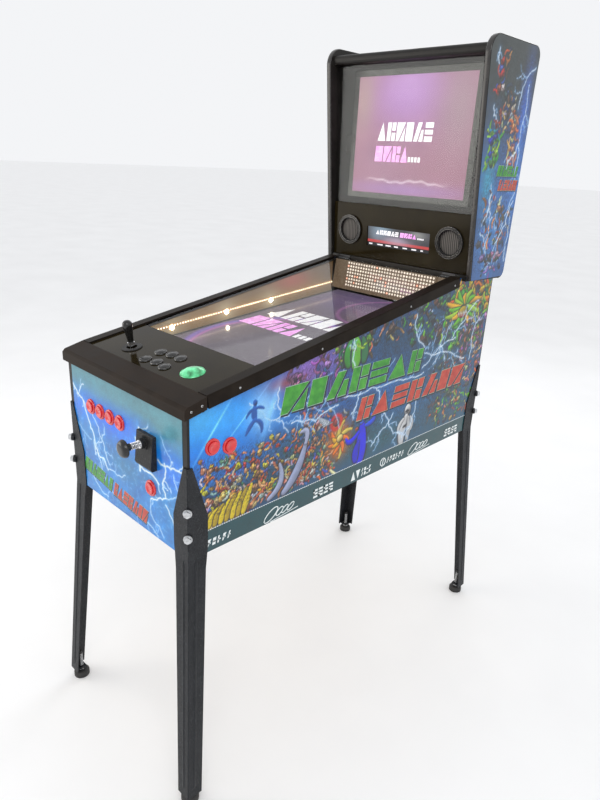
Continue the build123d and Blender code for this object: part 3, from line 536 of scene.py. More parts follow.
M = {
    "board": finish("black_board", (0.010, 0.009, 0.008), (0.020, 0.018, 0.016), (0.3, 0.46),
                    30, 700, 0.12, 0.2, specular=0.25),
    "bare": finish("bare_board", (0.36, 0.25, 0.15), (0.52, 0.38, 0.24), (0.6, 0.8),
                    55, 600, 0.3, 0.4, stretch=(1, 0.25, 1)),
    "lockbar": finish("lock_bar_coat", (0.018, 0.013, 0.010), (0.030, 0.022, 0.017), (0.34, 0.5),
                    26, 1400, 0.14, 0.12, specular=0.06),
    "rail": finish("rail_coat", (0.011, 0.008, 0.006), (0.020, 0.015, 0.011), (0.28, 0.42),
                    26, 1400, 0.14, 0.12, specular=0.06),
    "acrylic": finish("black_acrylic", (0.013, 0.009, 0.003), (0.022, 0.016, 0.006), (0.07, 0.13),
                    12, 1500, 0.02, 0.05, specular=0.1),
    "bezel": finish("display_bezel", (0.020, 0.019, 0.018), (0.034, 0.032, 0.030), (0.22, 0.34),
                    30, 1300, 0.06, 0.1),
    "red": finish("red_plastic", (0.56, 0.010, 0.014), (0.74, 0.026, 0.028), (0.16, 0.28),
                    90, 700, 0.05, 0.15,
                  coat=0.7),
    "black_plastic": finish("black_plastic", (0.006, 0.006, 0.006), (0.014, 0.013, 0.012), (0.12, 0.24),
                    80, 900, 0.05, 0.15, specular=0.4, coat=0.3),
    "moulded": finish("moulded_black", (0.012, 0.011, 0.011), (0.024, 0.023, 0.022), (0.38, 0.55),
                    45, 620, 0.3, 0.3, specular=0.3),
    "chrome": finish("bright_steel", (0.62, 0.62, 0.64), (0.82, 0.82, 0.83), (0.1, 0.24),
                    120, 900, 0.08, 0.1, metallic=1.0),
    "zinc": finish("zinc_steel", (0.48, 0.49, 0.5), (0.72, 0.73, 0.74), (0.24, 0.42),
                    160, 700, 0.15, 0.15, metallic=1.0),
    "leg": hammered("leg_coat", (0.005, 0.006, 0.008), (0.012, 0.013, 0.016), (0.13, 0.14, 0.15)),
    "rubber": finish("foot_rubber", (0.014, 0.014, 0.014), (0.028, 0.027, 0.026), (0.5, 0.7),
                    60, 500, 0.25, 0.3),
    "housing": hammered("shooter_plate", (0.010, 0.010, 0.011), (0.020, 0.020, 0.020), (0.10, 0.10, 0.10)),
    "speaker": finish("speaker_black", (0.009, 0.008, 0.008), (0.016, 0.015, 0.014), (0.14, 0.26),
                    60, 800, 0.06, 0.1, specular=0.3, coat=0.15),
    "cone": finish("speaker_cone", (0.022, 0.020, 0.019), (0.050, 0.046, 0.043), (0.6, 0.8),
                    160, 700, 0.4, 0.4),
    # The board's warm glow is painted light from its lenses; the board itself is no lamp.
    "circuit": finish("matrix_board", (0.12, 0.085, 0.06), (0.19, 0.14, 0.10), (0.35, 0.5),
                    140, 900, 0.1, 0.2, glow=((0.36, 0.24, 0.15), (0.50, 0.36, 0.24), 0.22)),
    "case": finish("case_steel", (0.05, 0.05, 0.052), (0.08, 0.08, 0.083), (0.3, 0.45),
                    40, 800, 0.1, 0.2, metallic=0.6),
    "green": translucent_plastic("green_dome", (0.004, 0.13, 0.035), (0.14, 0.80, 0.36), 0.42),
    "glass": clear_sheet("clear_glass", (0.97, 0.98, 0.97), 0.012),
    # The tape's own warm glow is painted light from its chips, which are separate lit pieces.
    "strip": lamp("led_tape", (0.80, 0.46, 0.18), 0.16, 0.4),
    "chip": lamp("led_chip", (1.0, 0.82, 0.54), 4.2, 0.5),
    "flash": lamp("led_flash", (1.0, 0.86, 0.62), 24.0, 0.1),
    "dot": lamp("matrix_dot", (1.0, 0.86, 0.74), 1.15, 0.45),
    "dot_warm": lamp("matrix_dot_warm", (1.0, 0.48, 0.34), 1.3, 0.35),
    "art": painted_art("art_print"),
    "playfield_picture": lit_picture("playfield_picture", 0.50, 0.12, 0.05),
    "backglass_picture": lit_picture("backglass_picture", 0.66, 0.2, 0.04),
    "score_picture": lit_picture("score_picture", 0.75, 0.2, 0.05),
    # The inner walls glow with painted light; they are no lamp.
    "lit_wall": lit_picture("lit_wall", 0.5, 0.5, 0.15),
    "sign_white": finish("sign_white", (0.66, 0.64, 0.68), (0.74, 0.73, 0.75), (0.2, 0.3),
                    60, 900, 0.02, 0.1, glow=((0.86, 0.84, 0.88), (0.95, 0.94, 0.96), 0.55)),
    "sign_pink": finish("sign_pink", (0.60, 0.20, 0.55), (0.72, 0.32, 0.70), (0.2, 0.3),
                    60, 900, 0.02, 0.1, glow=((0.60, 0.22, 0.56), (0.80, 0.42, 0.82), 0.8)),
    "green_ink": finish("green_ink", (0.018, 0.20, 0.018), (0.07, 0.37, 0.035), (0.3, 0.42),
                    55, 700, 0.04, 0.1),
    "red_ink": finish("red_ink", (0.40, 0.028, 0.018), (0.58, 0.085, 0.05), (0.3, 0.42), 55, 700, 0.04, 0.1),
    "white_ink": finish("white_ink", (0.72, 0.78, 0.78), (0.84, 0.88, 0.88), (0.32, 0.44),
                    60, 700, 0.04, 0.1),
    "rim_ink": finish("rim_ink", (0.16, 0.30, 0.22), (0.42, 0.58, 0.46), (0.32, 0.44), 420, 700, 0.04, 0.1),
    "ink": finish("dark_ink", (0.004, 0.008, 0.02), (0.02, 0.03, 0.05), (0.32, 0.44), 200, 700, 0.04, 0.1),
    "dark_chrome": finish("dark_chrome", (0.06, 0.058, 0.055), (0.17, 0.165, 0.16), (0.06, 0.16),
                    150, 900, 0.05, 0.1, metallic=1.0),
    "edging": finish("edging", (0.016, 0.014, 0.013), (0.028, 0.025, 0.023), (0.2, 0.34),
                    30, 800, 0.08, 0.15, coat=0.3),
    "cloth": speaker_weave("speaker_weave"),
}

NODE_MATERIALS = {
    "side_panel_right": "board", "side_panel_left": "board", "front_panel": "board", "rear_panel": "board",
    "floor_panel": "bare", "rear_shelf": "board", "corner_blocks": "bare", "lock_bar": "lockbar",
    "side_rails": "rail", "control_panel": "acrylic", "playfield_glass": "glass",
    "playfield_monitor": "bezel",
    "led_strips": "strip", "matrix_panel": "circuit", "joystick_base": "moulded",
    "joystick_gimbal": "moulded",
    "joystick_shaft": "chrome", "joystick_handle": "black_plastic", "plunger_housing": "housing",
    "plunger_spring": "chrome", "plunger_rod": "chrome", "plunger_knob": "black_plastic", "legs": "leg",
    "leg_bolts": "zinc", "power_inlet": "moulded", "computer": "case", "hinge_lower": "case",
    "hinge_upper": "case", "backbox_side_right": "board", "backbox_side_left": "board",
    "backbox_top": "board",
    "backbox_floor": "board", "backbox_rear": "board", "backbox_glass": "glass", "backbox_monitor": "bezel",
    "speaker_panel": "acrylic", "speaker_rings": "speaker", "speaker_drivers": "cone", "launch_button": "red",
    "dome_button": "green", "power_rocker": "moulded", "button_housings": "moulded",
}
for node_name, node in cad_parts.items():
    if node_name.startswith(("front_button", "flipper_button")):
        key = "red"
    elif node_name.startswith("panel_button"):
        key = "black_plastic"
    elif node_name.startswith("leveller"):
        key = "rubber"
    else:
        key = NODE_MATERIALS[node_name]
    node.data.materials.clear()
    node.data.materials.append(M[key])


# ---------------------------------------------------------------- painted art
class Canvas:
    """A picture painted in code, on a plane measured in millimetres, then read back at a skin's vertices."""

    def __init__(self, u, v, pitch=1.0, seed=1):
        self.u0, self.v0, self.pitch = u[0], v[0], pitch
        self.us = np.arange(u[0], u[1] + pitch, pitch)
        self.vs = np.arange(v[0], v[1] + pitch, pitch)
        self.u, self.v = np.meshgrid(self.us, self.vs)
        self.rgb = np.zeros((*self.u.shape, 3))
        self.light = np.zeros(self.u.shape)
        self.rng = random.Random(seed)
        self.lumps = 0.0

    def window(self, u, v, reach):
        """Slices of the picture near a point."""
        i0 = max(0, int((u - reach - self.u0) / self.pitch))
        i1 = min(len(self.us), int((u + reach - self.u0) / self.pitch) + 2)
        j0 = max(0, int((v - reach - self.v0) / self.pitch))
        j1 = min(len(self.vs), int((v + reach - self.v0) / self.pitch) + 2)
        return slice(j0, j1), slice(i0, i1)

    def lay(self, where, cover, colour):
        """Paints a colour over a window, with a cover of 0 to 1."""
        under = self.rgb[where]
        self.rgb[where] = under + (np.asarray(colour) - under) * cover[..., None]

    def wash(self, u, v, size, colour, strength=1.0, power=2.0):
        """A soft cloud of colour."""
        reach = 2.2 * max(size)
        where = self.window(u, v, reach)
        q = ((self.u[where] - u) / size[0]) ** 2 + ((self.v[where] - v) / size[1]) ** 2
        self.lay(where, strength * np.exp(-q ** (power / 2)), colour)

    def pebble(self, u, v, size, turn, colour, ink=(0.01, 0.015, 0.03)):
        """A shaded rounded form with an ink outline."""
        where = self.window(u, v, 1.3 * max(size))
        du, dv = self.u[where] - u, self.v[where] - v
        a = (du * math.cos(turn) + dv * math.sin(turn)) / size[0]
        b = (-du * math.sin(turn) + dv * math.cos(turn)) / size[1]
        angle = np.arctan2(b, a)
        lobes = self.rng.choice((2, 3, 5))
        ripple = np.sin(lobes * angle + self.rng.uniform(0, 6))
        q = np.sqrt(a * a + b * b) * (1 + 0.17 * ripple * self.lumps)
        lit = np.clip(0.62 + 0.95 * (-0.35 * du + 0.65 * dv) / max(size), 0.10, 1.7)
        self.lay(where, np.clip((1.12 - q) * 9, 0, 1), ink)
        self.lay(where, np.clip((0.93 - q) * 9, 0, 1), np.clip(np.asarray(colour) * lit[..., None], 0, 1.0))

    def leaf(self, start, bend, end, width, colour, ink=(0.01, 0.015, 0.03)):
        """A tapered curved stroke with a lighter ridge, for flames, limbs, leaves and tails."""
        steps = 12
        t = np.linspace(0, 1, steps)
        cu = (1 - t) ** 2 * start[0] + 2 * t * (1 - t) * bend[0] + t * t * end[0]
        cv = (1 - t) ** 2 * start[1] + 2 * t * (1 - t) * bend[1] + t * t * end[1]
        middle = (cu.mean(), cv.mean())
        reach = 2 * width + max(np.ptp(cu), np.ptp(cv))
        where = self.window(*middle, reach)
        u, v = self.u[where], self.v[where]
        best = np.full(u.shape, 1e9)
        side = np.zeros(u.shape)
        for k in range(steps - 1):
            seg_u, seg_v = cu[k + 1] - cu[k], cv[k + 1] - cv[k]
            length = max(1e-6, seg_u**2 + seg_v**2)
            along = np.clip(((u - cu[k]) * seg_u + (v - cv[k]) * seg_v) / length, 0, 1)
            du, dv = u - cu[k] - along * seg_u, v - cv[k] - along * seg_v
            fraction = (k + along) / (steps - 1)
            half = width * (0.35 + 0.65 * np.sin(np.pi * (0.15 + 0.8 * fraction)))
            q = np.hypot(du, dv) / half
            closer = q < best
            side = np.where(closer, dv / half, side)
            best = np.minimum(best, q)
        self.lay(where, np.clip((1.25 - best) * 6, 0, 1), ink)
        lit = np.clip(0.8 + 0.5 * side, 0.25, 1.5)
        self.lay(where, np.clip((0.95 - best) * 6, 0, 1),
                 np.clip(np.asarray(colour) * lit[..., None], 0, 1.0))

    def shard(self, u, v, size, turn, colour, ink=(0.01, 0.015, 0.03)):
        """A faceted crystal."""
        where = self.window(u, v, 1.4 * max(size))
        du, dv = self.u[where] - u, self.v[where] - v
        a = (du * math.cos(turn) + dv * math.sin(turn)) / size[0]
        b = (-du * math.sin(turn) + dv * math.cos(turn)) / size[1]
        q = np.abs(a) + np.abs(b)
        facet = np.where(a > 0, 0.55, 1.0) * np.where(b > 0.15, 1.25, 0.8)
        self.lay(where, np.clip((1.15 - q) * 8, 0, 1), ink)
        self.lay(where, np.clip((0.97 - q) * 8, 0, 1), np.clip(np.asarray(colour) * facet[..., None], 0, 1))

    def etch(self, u, v, cells, seed, ink=0.75, shine=0.3, soft=30.0):
        """Ink lines and highlights along the contours of a noise field, fading out at the area's border."""
        field = cloud_noise(self.u.shape, cells, seed)
        inside = np.clip((self.u - u[0]) / soft, 0, 1) * np.clip((u[1] - self.u) / soft, 0, 1)
        inside = inside * np.clip((self.v - v[0]) / soft, 0, 1) * np.clip((v[1] - self.v) / soft, 0, 1)
        phase = np.mod(field * 9.0, 1.0)
        dark = np.exp(-(((phase - 0.5) / 0.16) ** 2)) * inside * ink
        bright = np.exp(-(((phase - 0.75) / 0.08) ** 2)) * inside * shine
        self.rgb = self.rgb * (1 - dark[..., None])
        self.rgb = self.rgb + (np.clip(self.rgb * 2.2 + 0.04, 0, 1) - self.rgb) * bright[..., None]

    def ring(self, u, v, radius, width, colour, strength=1.0):
        """A soft circle."""
        where = self.window(u, v, radius + 3 * width)
        r = np.hypot(self.u[where] - u, self.v[where] - v)
        self.lay(where, strength * np.exp(-(((r - radius) / width) ** 2)), colour)

    def crowd(self, u, v, palette, count, size, leaves=0.4, shards=0.15):
        """A crowded group of small forms in an area, in a palette."""
        rng = self.rng
        for _ in range(count):
            cu, cv = rng.uniform(*u), rng.uniform(*v)
            colour = rng.choice(palette)
            colour = tuple(min(1.0, c * rng.uniform(0.75, 1.3)) for c in colour)
            big = rng.uniform(*size)
            kind = rng.random()
            if kind < leaves:
                turn = rng.uniform(0, 2 * math.pi)
                far = 2.2 * big
                end = (cu + far * math.cos(turn), cv + far * math.sin(turn))
                bend = (cu + far * 0.6 * math.cos(turn + rng.choice((-1, 1)) * 0.9),
                        cv + far * 0.6 * math.sin(turn + rng.choice((-1, 1)) * 0.9))
                self.leaf((cu, cv), bend, end, 0.34 * big, colour)
            elif kind < leaves + shards:
                self.shard(cu, cv, (0.5 * big, big), rng.uniform(-0.8, 0.8), colour)
            else:
                flat = rng.uniform(0.5, 0.95)
                turn = rng.uniform(0, math.pi)
                self.pebble(cu, cv, (big, big * flat), turn, colour)
                self.pebble(cu + 0.2 * big, cv + 0.25 * big, (0.42 * big, 0.3 * big), turn,
                            tuple(min(1.0, 1.5 * c + 0.06) for c in colour))
                if rng.random() < 0.5:
                    self.pebble(cu - 0.3 * big, cv - 0.2 * big, (0.26 * big, 0.16 * big), turn + 1.0,
                                tuple(0.25 * c for c in colour))

    def bolt(self, start, end, jitter, strength=1.0, width=1.6, branches=3, depth=5):
        """A forked lightning bolt: midpoint displacement, with a glow that adds to the light layer."""
        rng = self.rng
        points = [start, end]
        for level in range(depth):
            step = jitter * 0.5**level
            longer = []
            for a, b in zip(points, points[1:]):
                across = Vector((a[1] - b[1], b[0] - a[0])).normalized() * rng.uniform(-step, step)
                longer += [a, ((a[0] + b[0]) / 2 + across.x, (a[1] + b[1]) / 2 + across.y)]
            points = longer + [points[-1]]
        for a, b in zip(points, points[1:]):
            middle = ((a[0] + b[0]) / 2, (a[1] + b[1]) / 2)
            where = self.window(*middle, 9 * width + math.dist(a, b))
            seg = (b[0] - a[0], b[1] - a[1])
            length = max(1e-6, seg[0] ** 2 + seg[1] ** 2)
            du, dv = self.u[where] - a[0], self.v[where] - a[1]
            along = np.clip((du * seg[0] + dv * seg[1]) / length, 0, 1)
            far = np.hypot(du - along * seg[0], dv - along * seg[1])
            shine = strength * (np.exp(-((far / width) ** 2)) + 0.28 * np.exp(-far / (3.2 * width)))
            self.light[where] = np.maximum(self.light[where], shine)
        for _ in range(branches):
            k = rng.randrange(len(points) // 5, len(points) - 2)
            heading = math.atan2(end[1] - start[1], end[0] - start[0])
            heading += rng.choice((-1, 1)) * rng.uniform(0.4, 1.0)
            reach = math.dist(start, end) * rng.uniform(0.2, 0.45)
            tip = (points[k][0] + reach * math.cos(heading), points[k][1] + reach * math.sin(heading))
            self.bolt(points[k], tip, jitter * 0.5, strength * 0.75, width * 0.75, branches - 2,
                      max(3, depth - 1))

    def strike(self, tone=(0.34, 0.62, 0.98)):
        """Adds the light layer to the picture, pale blue at its edge and white in its core."""
        shine = np.clip(self.light, 0, 1)[..., None]
        self.rgb = self.rgb * (1 - 0.8 * shine) + np.asarray(tone) * 0.85 * shine
        self.rgb = self.rgb + (1 - self.rgb) * np.clip(shine * 1.6 - 0.85, 0, 0.9)
        self.light[:] = 0

    def deepen(self, power=1.22, gain=1.12):
        """More contrast and colour, as in a saturated print."""
        grey = self.rgb.mean(axis=2, keepdims=True)
        vivid = np.clip(grey + 1.22 * (self.rgb - grey), 0, 1)
        self.rgb = np.clip(gain * vivid**power, 0, 1)

    def read(self, u, v):
        """Colours at points, between the picture's own points."""
        fu = np.clip((np.asarray(u) - self.u0) / self.pitch, 0, len(self.us) - 1.001)
        fv = np.clip((np.asarray(v) - self.v0) / self.pitch, 0, len(self.vs) - 1.001)
        i, j = fu.astype(int), fv.astype(int)
        a, b = (fu - i)[:, None], (fv - j)[:, None]
        low = self.rgb[j, i] * (1 - a) + self.rgb[j, i + 1] * a
        high = self.rgb[j + 1, i] * (1 - a) + self.rgb[j + 1, i + 1] * a
        return low * (1 - b) + high * b


def smooth_noise(shape, cells, rng):
    """Soft random values over a picture, from a coarse grid of seeded numbers."""
    coarse = rng.random((cells[0] + 2, cells[1] + 2))
    y = np.linspace(0, cells[0], shape[0])
    x = np.linspace(0, cells[1], shape[1])
    j, i = y.astype(int), x.astype(int)
    b, a = (y - j)[:, None], (x - i)[None, :]
    a, b = a * a * (3 - 2 * a), b * b * (3 - 2 * b)
    top = coarse[j][:, i] * (1 - a) + coarse[j][:, i + 1] * a
    low = coarse[j + 1][:, i] * (1 - a) + coarse[j + 1][:, i + 1] * a
    return top * (1 - b) + low * b


def cloud_noise(shape, cell_counts, seed):
    """Four levels of soft noise, from 0 to 1."""
    rng = np.random.default_rng(seed)
    total, weight = 0, 0
    for level in range(4):
        cells = (cell_counts[0] * 2**level, cell_counts[1] * 2**level)
        total = total + smooth_noise(shape, cells, rng) * 0.6**level
        weight += 0.6**level
    return total / weight


TEAL = (0.020, 0.105, 0.125)
DEEP_BLUE = (0.035, 0.13, 0.34)
BRIGHT_BLUE = (0.05, 0.27, 0.74)
GREENS = ((0.07, 0.33, 0.06), (0.20, 0.52, 0.06), (0.05, 0.22, 0.10), (0.42, 0.60, 0.10))
FLAMES = ((0.80, 0.50, 0.06), (0.85, 0.28, 0.04), (0.75, 0.62, 0.20), (0.55, 0.10, 0.03))
SKINS = ((0.62, 0.28, 0.14), (0.78, 0.45, 0.25), (0.45, 0.16, 0.07), (0.72, 0.56, 0.34), (0.60, 0.22, 0.10))
BRIGHTS = ((0.74, 0.56, 0.08), (0.50, 0.09, 0.06), (0.74, 0.72, 0.70), (0.12, 0.20, 0.56), (0.70, 0.44, 0.20),
           (0.12, 0.30, 0.20), (0.46, 0.52, 0.66))
VIOLETS = ((0.34, 0.16, 0.42), (0.52, 0.30, 0.60), (0.24, 0.10, 0.20), (0.60, 0.36, 0.50))
DARKS = ((0.05, 0.10, 0.12), (0.10, 0.13, 0.14), (0.16, 0.10, 0.07), (0.04, 0.08, 0.16))


def paint_side(seed):
    """The cabinet's side: a storm sky with crowded small forms, over a dark stripe."""
    art = Canvas((0, LENGTH), (BOTTOM, SHELF_TOP), 1.0, seed)
    clouds = cloud_noise(art.u.shape, (3, 8), seed)[..., None]
    fine = cloud_noise(art.u.shape, (12, 34), seed + 1)[..., None]
    art.rgb = np.asarray(DEEP_BLUE) * (0.55 + 0.9 * clouds)
    art.rgb = art.rgb + np.asarray(BRIGHT_BLUE) * 0.5 * (fine - 0.35) ** 2
    dark = np.clip((art.u - 420) / 420, 0, 1)[..., None] * np.clip((1000 - art.v) / 300, 0, 1)[..., None]
    art.rgb = art.rgb * (1 - 0.75 * dark) + np.asarray(TEAL) * 0.75 * dark
    art.wash(60, 850, (190, 90), BRIGHT_BLUE, 0.95)
    art.wash(120, 885, (120, 50), (0.12, 0.45, 0.90), 0.8)
    art.wash(30, 900, (60, 40), (0.16, 0.50, 0.80), 0.7)
    art.wash(150, 770, (150, 50), (0.05, 0.20, 0.50), 0.6)
    art.wash(300, 745, (110, 90), (0.03, 0.10, 0.13), 0.9)
    art.wash(160, 700, (190, 60), (0.02, 0.07, 0.10), 0.9)
    art.wash(900, 950, (190, 130), (0.02, 0.07, 0.06), 0.8)
    art.wash(620, 960, (200, 70), (0.02, 0.06, 0.08), 0.7)
    art.wash(430, 720, (140, 60), TEAL, 0.9)
    art.wash(600, 700, (160, 60), TEAL, 0.9)
    art.wash(330, 950, (90, 40), (0.34, 0.20, 0.52), 0.85)
    art.wash(255, 925, (60, 16), (0.30, 0.07, 0.05), 0.8)
    art.wash(270, 895, (50, 18), (0.18, 0.20, 0.46), 0.6)
    # diagonal shafts of light in the bright sky
    for u, v, slope, wide in ((60, 870, -1.25, 3.0), (140, 880, -0.9, 2.0), (210, 880, -2.6, 9.0)):
        off = (art.u - u) + (art.v - v) / slope
        near = np.exp(-((off / wide) ** 2)) * np.clip(1 - np.abs(art.v - v) / 75, 0, 1)
        art.rgb += np.asarray((0.32, 0.50, 0.62)) * near[..., None] * 0.8
    art.bolt((150, 905), (262, 812), 30, 0.8, 1.3, 3)
    art.bolt((262, 915), (330, 790), 24, 0.7, 1.2, 3)
    art.bolt((400, 985), (430, 880), 18, 0.6, 1.2, 2)
    art.bolt((700, 1050), (860, 800), 40, 0.9, 1.6, 4)
    art.bolt((930, 1040), (800, 860), 40, 0.8, 1.5, 4)
    art.bolt((1050, 980), (900, 860), 40, 0.7, 1.3, 3)
    art.strike()
    art.lumps = 1.0
    for start, top, tall in ((300, 862, 60), (352, 880, 70), (404, 858, 56)):
        for k in range(5):
            art.leaf((start + 10 * k, 848), (start + 10 * k + 4, top),
                     (start + 12 * k - 10, top + tall - 9 * k), 9,
                     ((0.10, 0.13, 0.34), (0.20, 0.16, 0.42), (0.07, 0.20, 0.40))[k % 3])
    # upper row of green, violet and bronze forms
    art.crowd((250, 430), (905, 975), VIOLETS, 44, (5.6, 12.2))
    art.crowd((400, 520), (925, 1000), GREENS + DARKS, 57, (5.6, 14.4))
    art.crowd((520, 700), (960, 1030), SKINS[:2] + DARKS + GREENS[:1], 57, (5.6, 13))
    art.crowd((690, 860), (930, 1040), GREENS + DARKS + DARKS, 102, (6.4, 15.8))
    art.crowd((830, 1050), (880, 1060), GREENS + DARKS, 153, (6.4, 17.3))
    art.crowd((860, 1055), (985, 1065), FLAMES + GREENS, 119, (6.4, 17.3), leaves=0.6)
    art.crowd((930, 1055), (760, 960), SKINS + DARKS + VIOLETS, 136, (4.8, 11.5))
    art.crowd((800, 940), (700, 860), DARKS + GREENS[2:3] + SKINS[2:3], 102, (4.8, 11.5), leaves=0.55)
    art.crowd((840, 1050), (670, 780), SKINS + DARKS + GREENS, 119, (4, 10.1), leaves=0.5)
    # crowded cluster low at the front
    art.crowd((0, 410), (668, 745), BRIGHTS + SKINS, 255, (5.6, 12.2), leaves=0.5)
    art.crowd((20, 400), (735, 815), SKINS + BRIGHTS, 161, (4.8, 10.1), leaves=0.45)
    art.crowd((40, 200), (668, 720), BRIGHTS[:1] + SKINS[:2] + BRIGHTS[2:3], 85, (6.4, 13), leaves=0.5)
    art.crowd((300, 400), (750, 850), SKINS[:3] + BRIGHTS[3:4], 44, (4.8, 8.64))
    art.crowd((400, 520), (690, 810), DARKS + SKINS[2:3] + BRIGHTS[2:3], 78, (4.8, 10.8), leaves=0.5)
    art.crowd((280, 350), (668, 690), BRIGHTS[1:2] + BRIGHTS[2:3], 20, (4, 6.48))
    # a striped yellow slab low at the front
    for k in range(9):
        art.leaf((18 + 15 * k, 664), (24 + 15 * k, 684), (40 + 15 * k, 690 + 4 * k), 9,
                 ((0.80, 0.64, 0.08), (0.55, 0.42, 0.05))[k % 2])
    art.etch((0, 420), (664, 830), (16, 40), 77, 0.8, 0.5)
    art.etch((400, 1058), (664, 1070), (26, 44), 78, 0.62, 0.45)
    art.etch((240, 470), (880, 1000), (14, 40), 79, 0.5, 0.4)
    art.lumps = 0.0
    # pale curling ribbon through the crowd
    art.leaf((255, 668), (300, 700), (318, 770), 13, (0.42, 0.46, 0.62))
    art.leaf((318, 770), (330, 810), (300, 800), 8, (0.50, 0.54, 0.70))
    art.leaf((210, 668), (262, 690), (240, 742), 9, (0.46, 0.50, 0.66))
    # fireball, blue form and pale form
    fire = (432, 744)
    art.wash(*fire, (34, 40), (0.75, 0.28, 0.02), 0.9)
    for k in range(14):
        turn = 2.4 * k
        reach = 24 + 12 * (k % 3)
        art.leaf(fire, (fire[0] + 0.6 * reach * math.cos(turn + 0.6),
                        fire[1] + 0.6 * reach * math.sin(turn + 0.6)),
                 (fire[0] + reach * math.cos(turn), fire[1] + reach * math.sin(turn)), 7, FLAMES[k % 3])
    art.pebble(fire[0] + 3, fire[1] + 4, (12, 11), 0.4, (1.0, 0.80, 0.36))
    blue = (0.02, 0.05, 0.78)
    art.leaf((516, 661), (520, 700), (516, 762), 22, blue)
    art.leaf((500, 668), (494, 690), (506, 716), 13, (0.02, 0.04, 0.60))
    art.leaf((504, 744), (470, 712), (458, 738), 8, blue)
    art.leaf((530, 756), (572, 758), (556, 778), 8, (0.05, 0.14, 0.72))
    art.leaf((512, 768), (528, 786), (548, 780), 9, (0.10, 0.22, 0.80))
    art.ring(418, 793, 17, 5, (0.55, 0.05, 0.04), 0.95)
    art.pebble(418, 793, (9, 11), 0.0, (0.42, 0.10, 0.08))
    for k in range(6):
        art.leaf((352 + 4 * k, 822 - 6 * k), (380, 806 - 2 * k), (404, 797), 2.2, (0.55, 0.60, 0.66))
    pale = (0.72, 0.73, 0.74)
    art.pebble(706, 753, (15, 18), 0.0, pale)
    art.leaf((690, 664), (684, 700), (702, 736), 17, pale)
    art.leaf((716, 668), (722, 700), (712, 730), 11, (0.60, 0.61, 0.62))
    art.leaf((692, 730), (668, 716), (672, 694), 7, pale)
    art.leaf((722, 728), (738, 712), (730, 690), 7, (0.62, 0.63, 0.64))
    art.pebble(704, 750, (9, 4), 0.0, (0.03, 0.03, 0.04))
    art.pebble(700, 708, (10, 4), 0.3, (0.04, 0.04, 0.05))
    # a leaping dark form in a patch of bright sky
    art.wash(185, 880, (34, 40), (0.42, 0.66, 0.92), 0.9)
    sky_form = (0.03, 0.16, 0.46)
    art.leaf((164, 892), (160, 876), (168, 862), 7, sky_form, sky_form)
    art.leaf((166, 866), (152, 856), (142, 838), 5, sky_form, sky_form)
    art.leaf((168, 864), (188, 856), (184, 834), 5, sky_form, sky_form)
    art.leaf((162, 890), (148, 888), (142, 874), 3.5, sky_form, sky_form)
    art.leaf((166, 890), (180, 892), (190, 884), 3.5, sky_form, sky_form)
    art.pebble(165, 902, (6, 7), 0, sky_form, sky_form)
    # green crag at the top, and a flame-coloured burst behind the green at the rear
    art.leaf((446, 928), (438, 950), (450, 982), 16, GREENS[0])
    art.leaf((470, 922), (476, 950), (466, 984), 20, GREENS[1])
    art.leaf((500, 928), (506, 950), (492, 980), 14, GREENS[2])
    for k in range(7):
        art.shard(448 + 9 * k, 968 - 4 * (k % 3), (4, 9), 0.3 * k, GREENS[3])
    for k in range(16):
        turn = 0.39 * k
        reach = 46 + 14 * (k % 2)
        art.leaf((920, 1000), (920 + 0.6 * reach * math.cos(turn + 0.4),
                               1000 + 0.5 * reach * math.sin(turn + 0.4)),
                 (920 + 1.5 * reach * math.cos(turn), 1000 + 0.8 * reach * math.sin(turn)), 10,
                 (GREENS[3], FLAMES[0], GREENS[1])[k % 3])
    art.pebble(918, 990, (24, 16), 0.2, (0.55, 0.42, 0.05))
    art.leaf((896, 986), (916, 972), (940, 984), 7, (0.45, 0.05, 0.03))
    for k in range(6):
        art.shard(898 + 8 * k, 984, (3, 7), 0.0, (0.85, 0.82, 0.66))
    # lightning around the two bands
    for start, end in (((224, 850), (470, 846)), ((470, 846), (760, 846)), ((752, 900), (960, 850)),
                       ((270, 830), (420, 836)), ((560, 845), (600, 770)), ((600, 770), (680, 690)),
                       ((750, 860), (900, 920)), ((640, 760), (560, 690)), ((470, 920), (436, 1000)),
                       ((752, 915), (700, 1010)), ((500, 850), (470, 800)), ((880, 920), (1000, 1010)),
                       ((230, 920), (262, 850)), ((990, 840), (1020, 960)), ((740, 770), (700, 680))):
        art.bolt(start, end, 22, 0.85, 1.4, 3)
    art.strike()
    # dark stripe along the bottom
    stripe = np.clip((658 - art.v) / 1.2, 0, 1)
    tone = np.asarray((0.016, 0.085, 0.098)) * (0.85 + 0.3 * fine)
    art.rgb = art.rgb * (1 - stripe[..., None]) + tone * stripe[..., None]
    art.deepen()
    return art


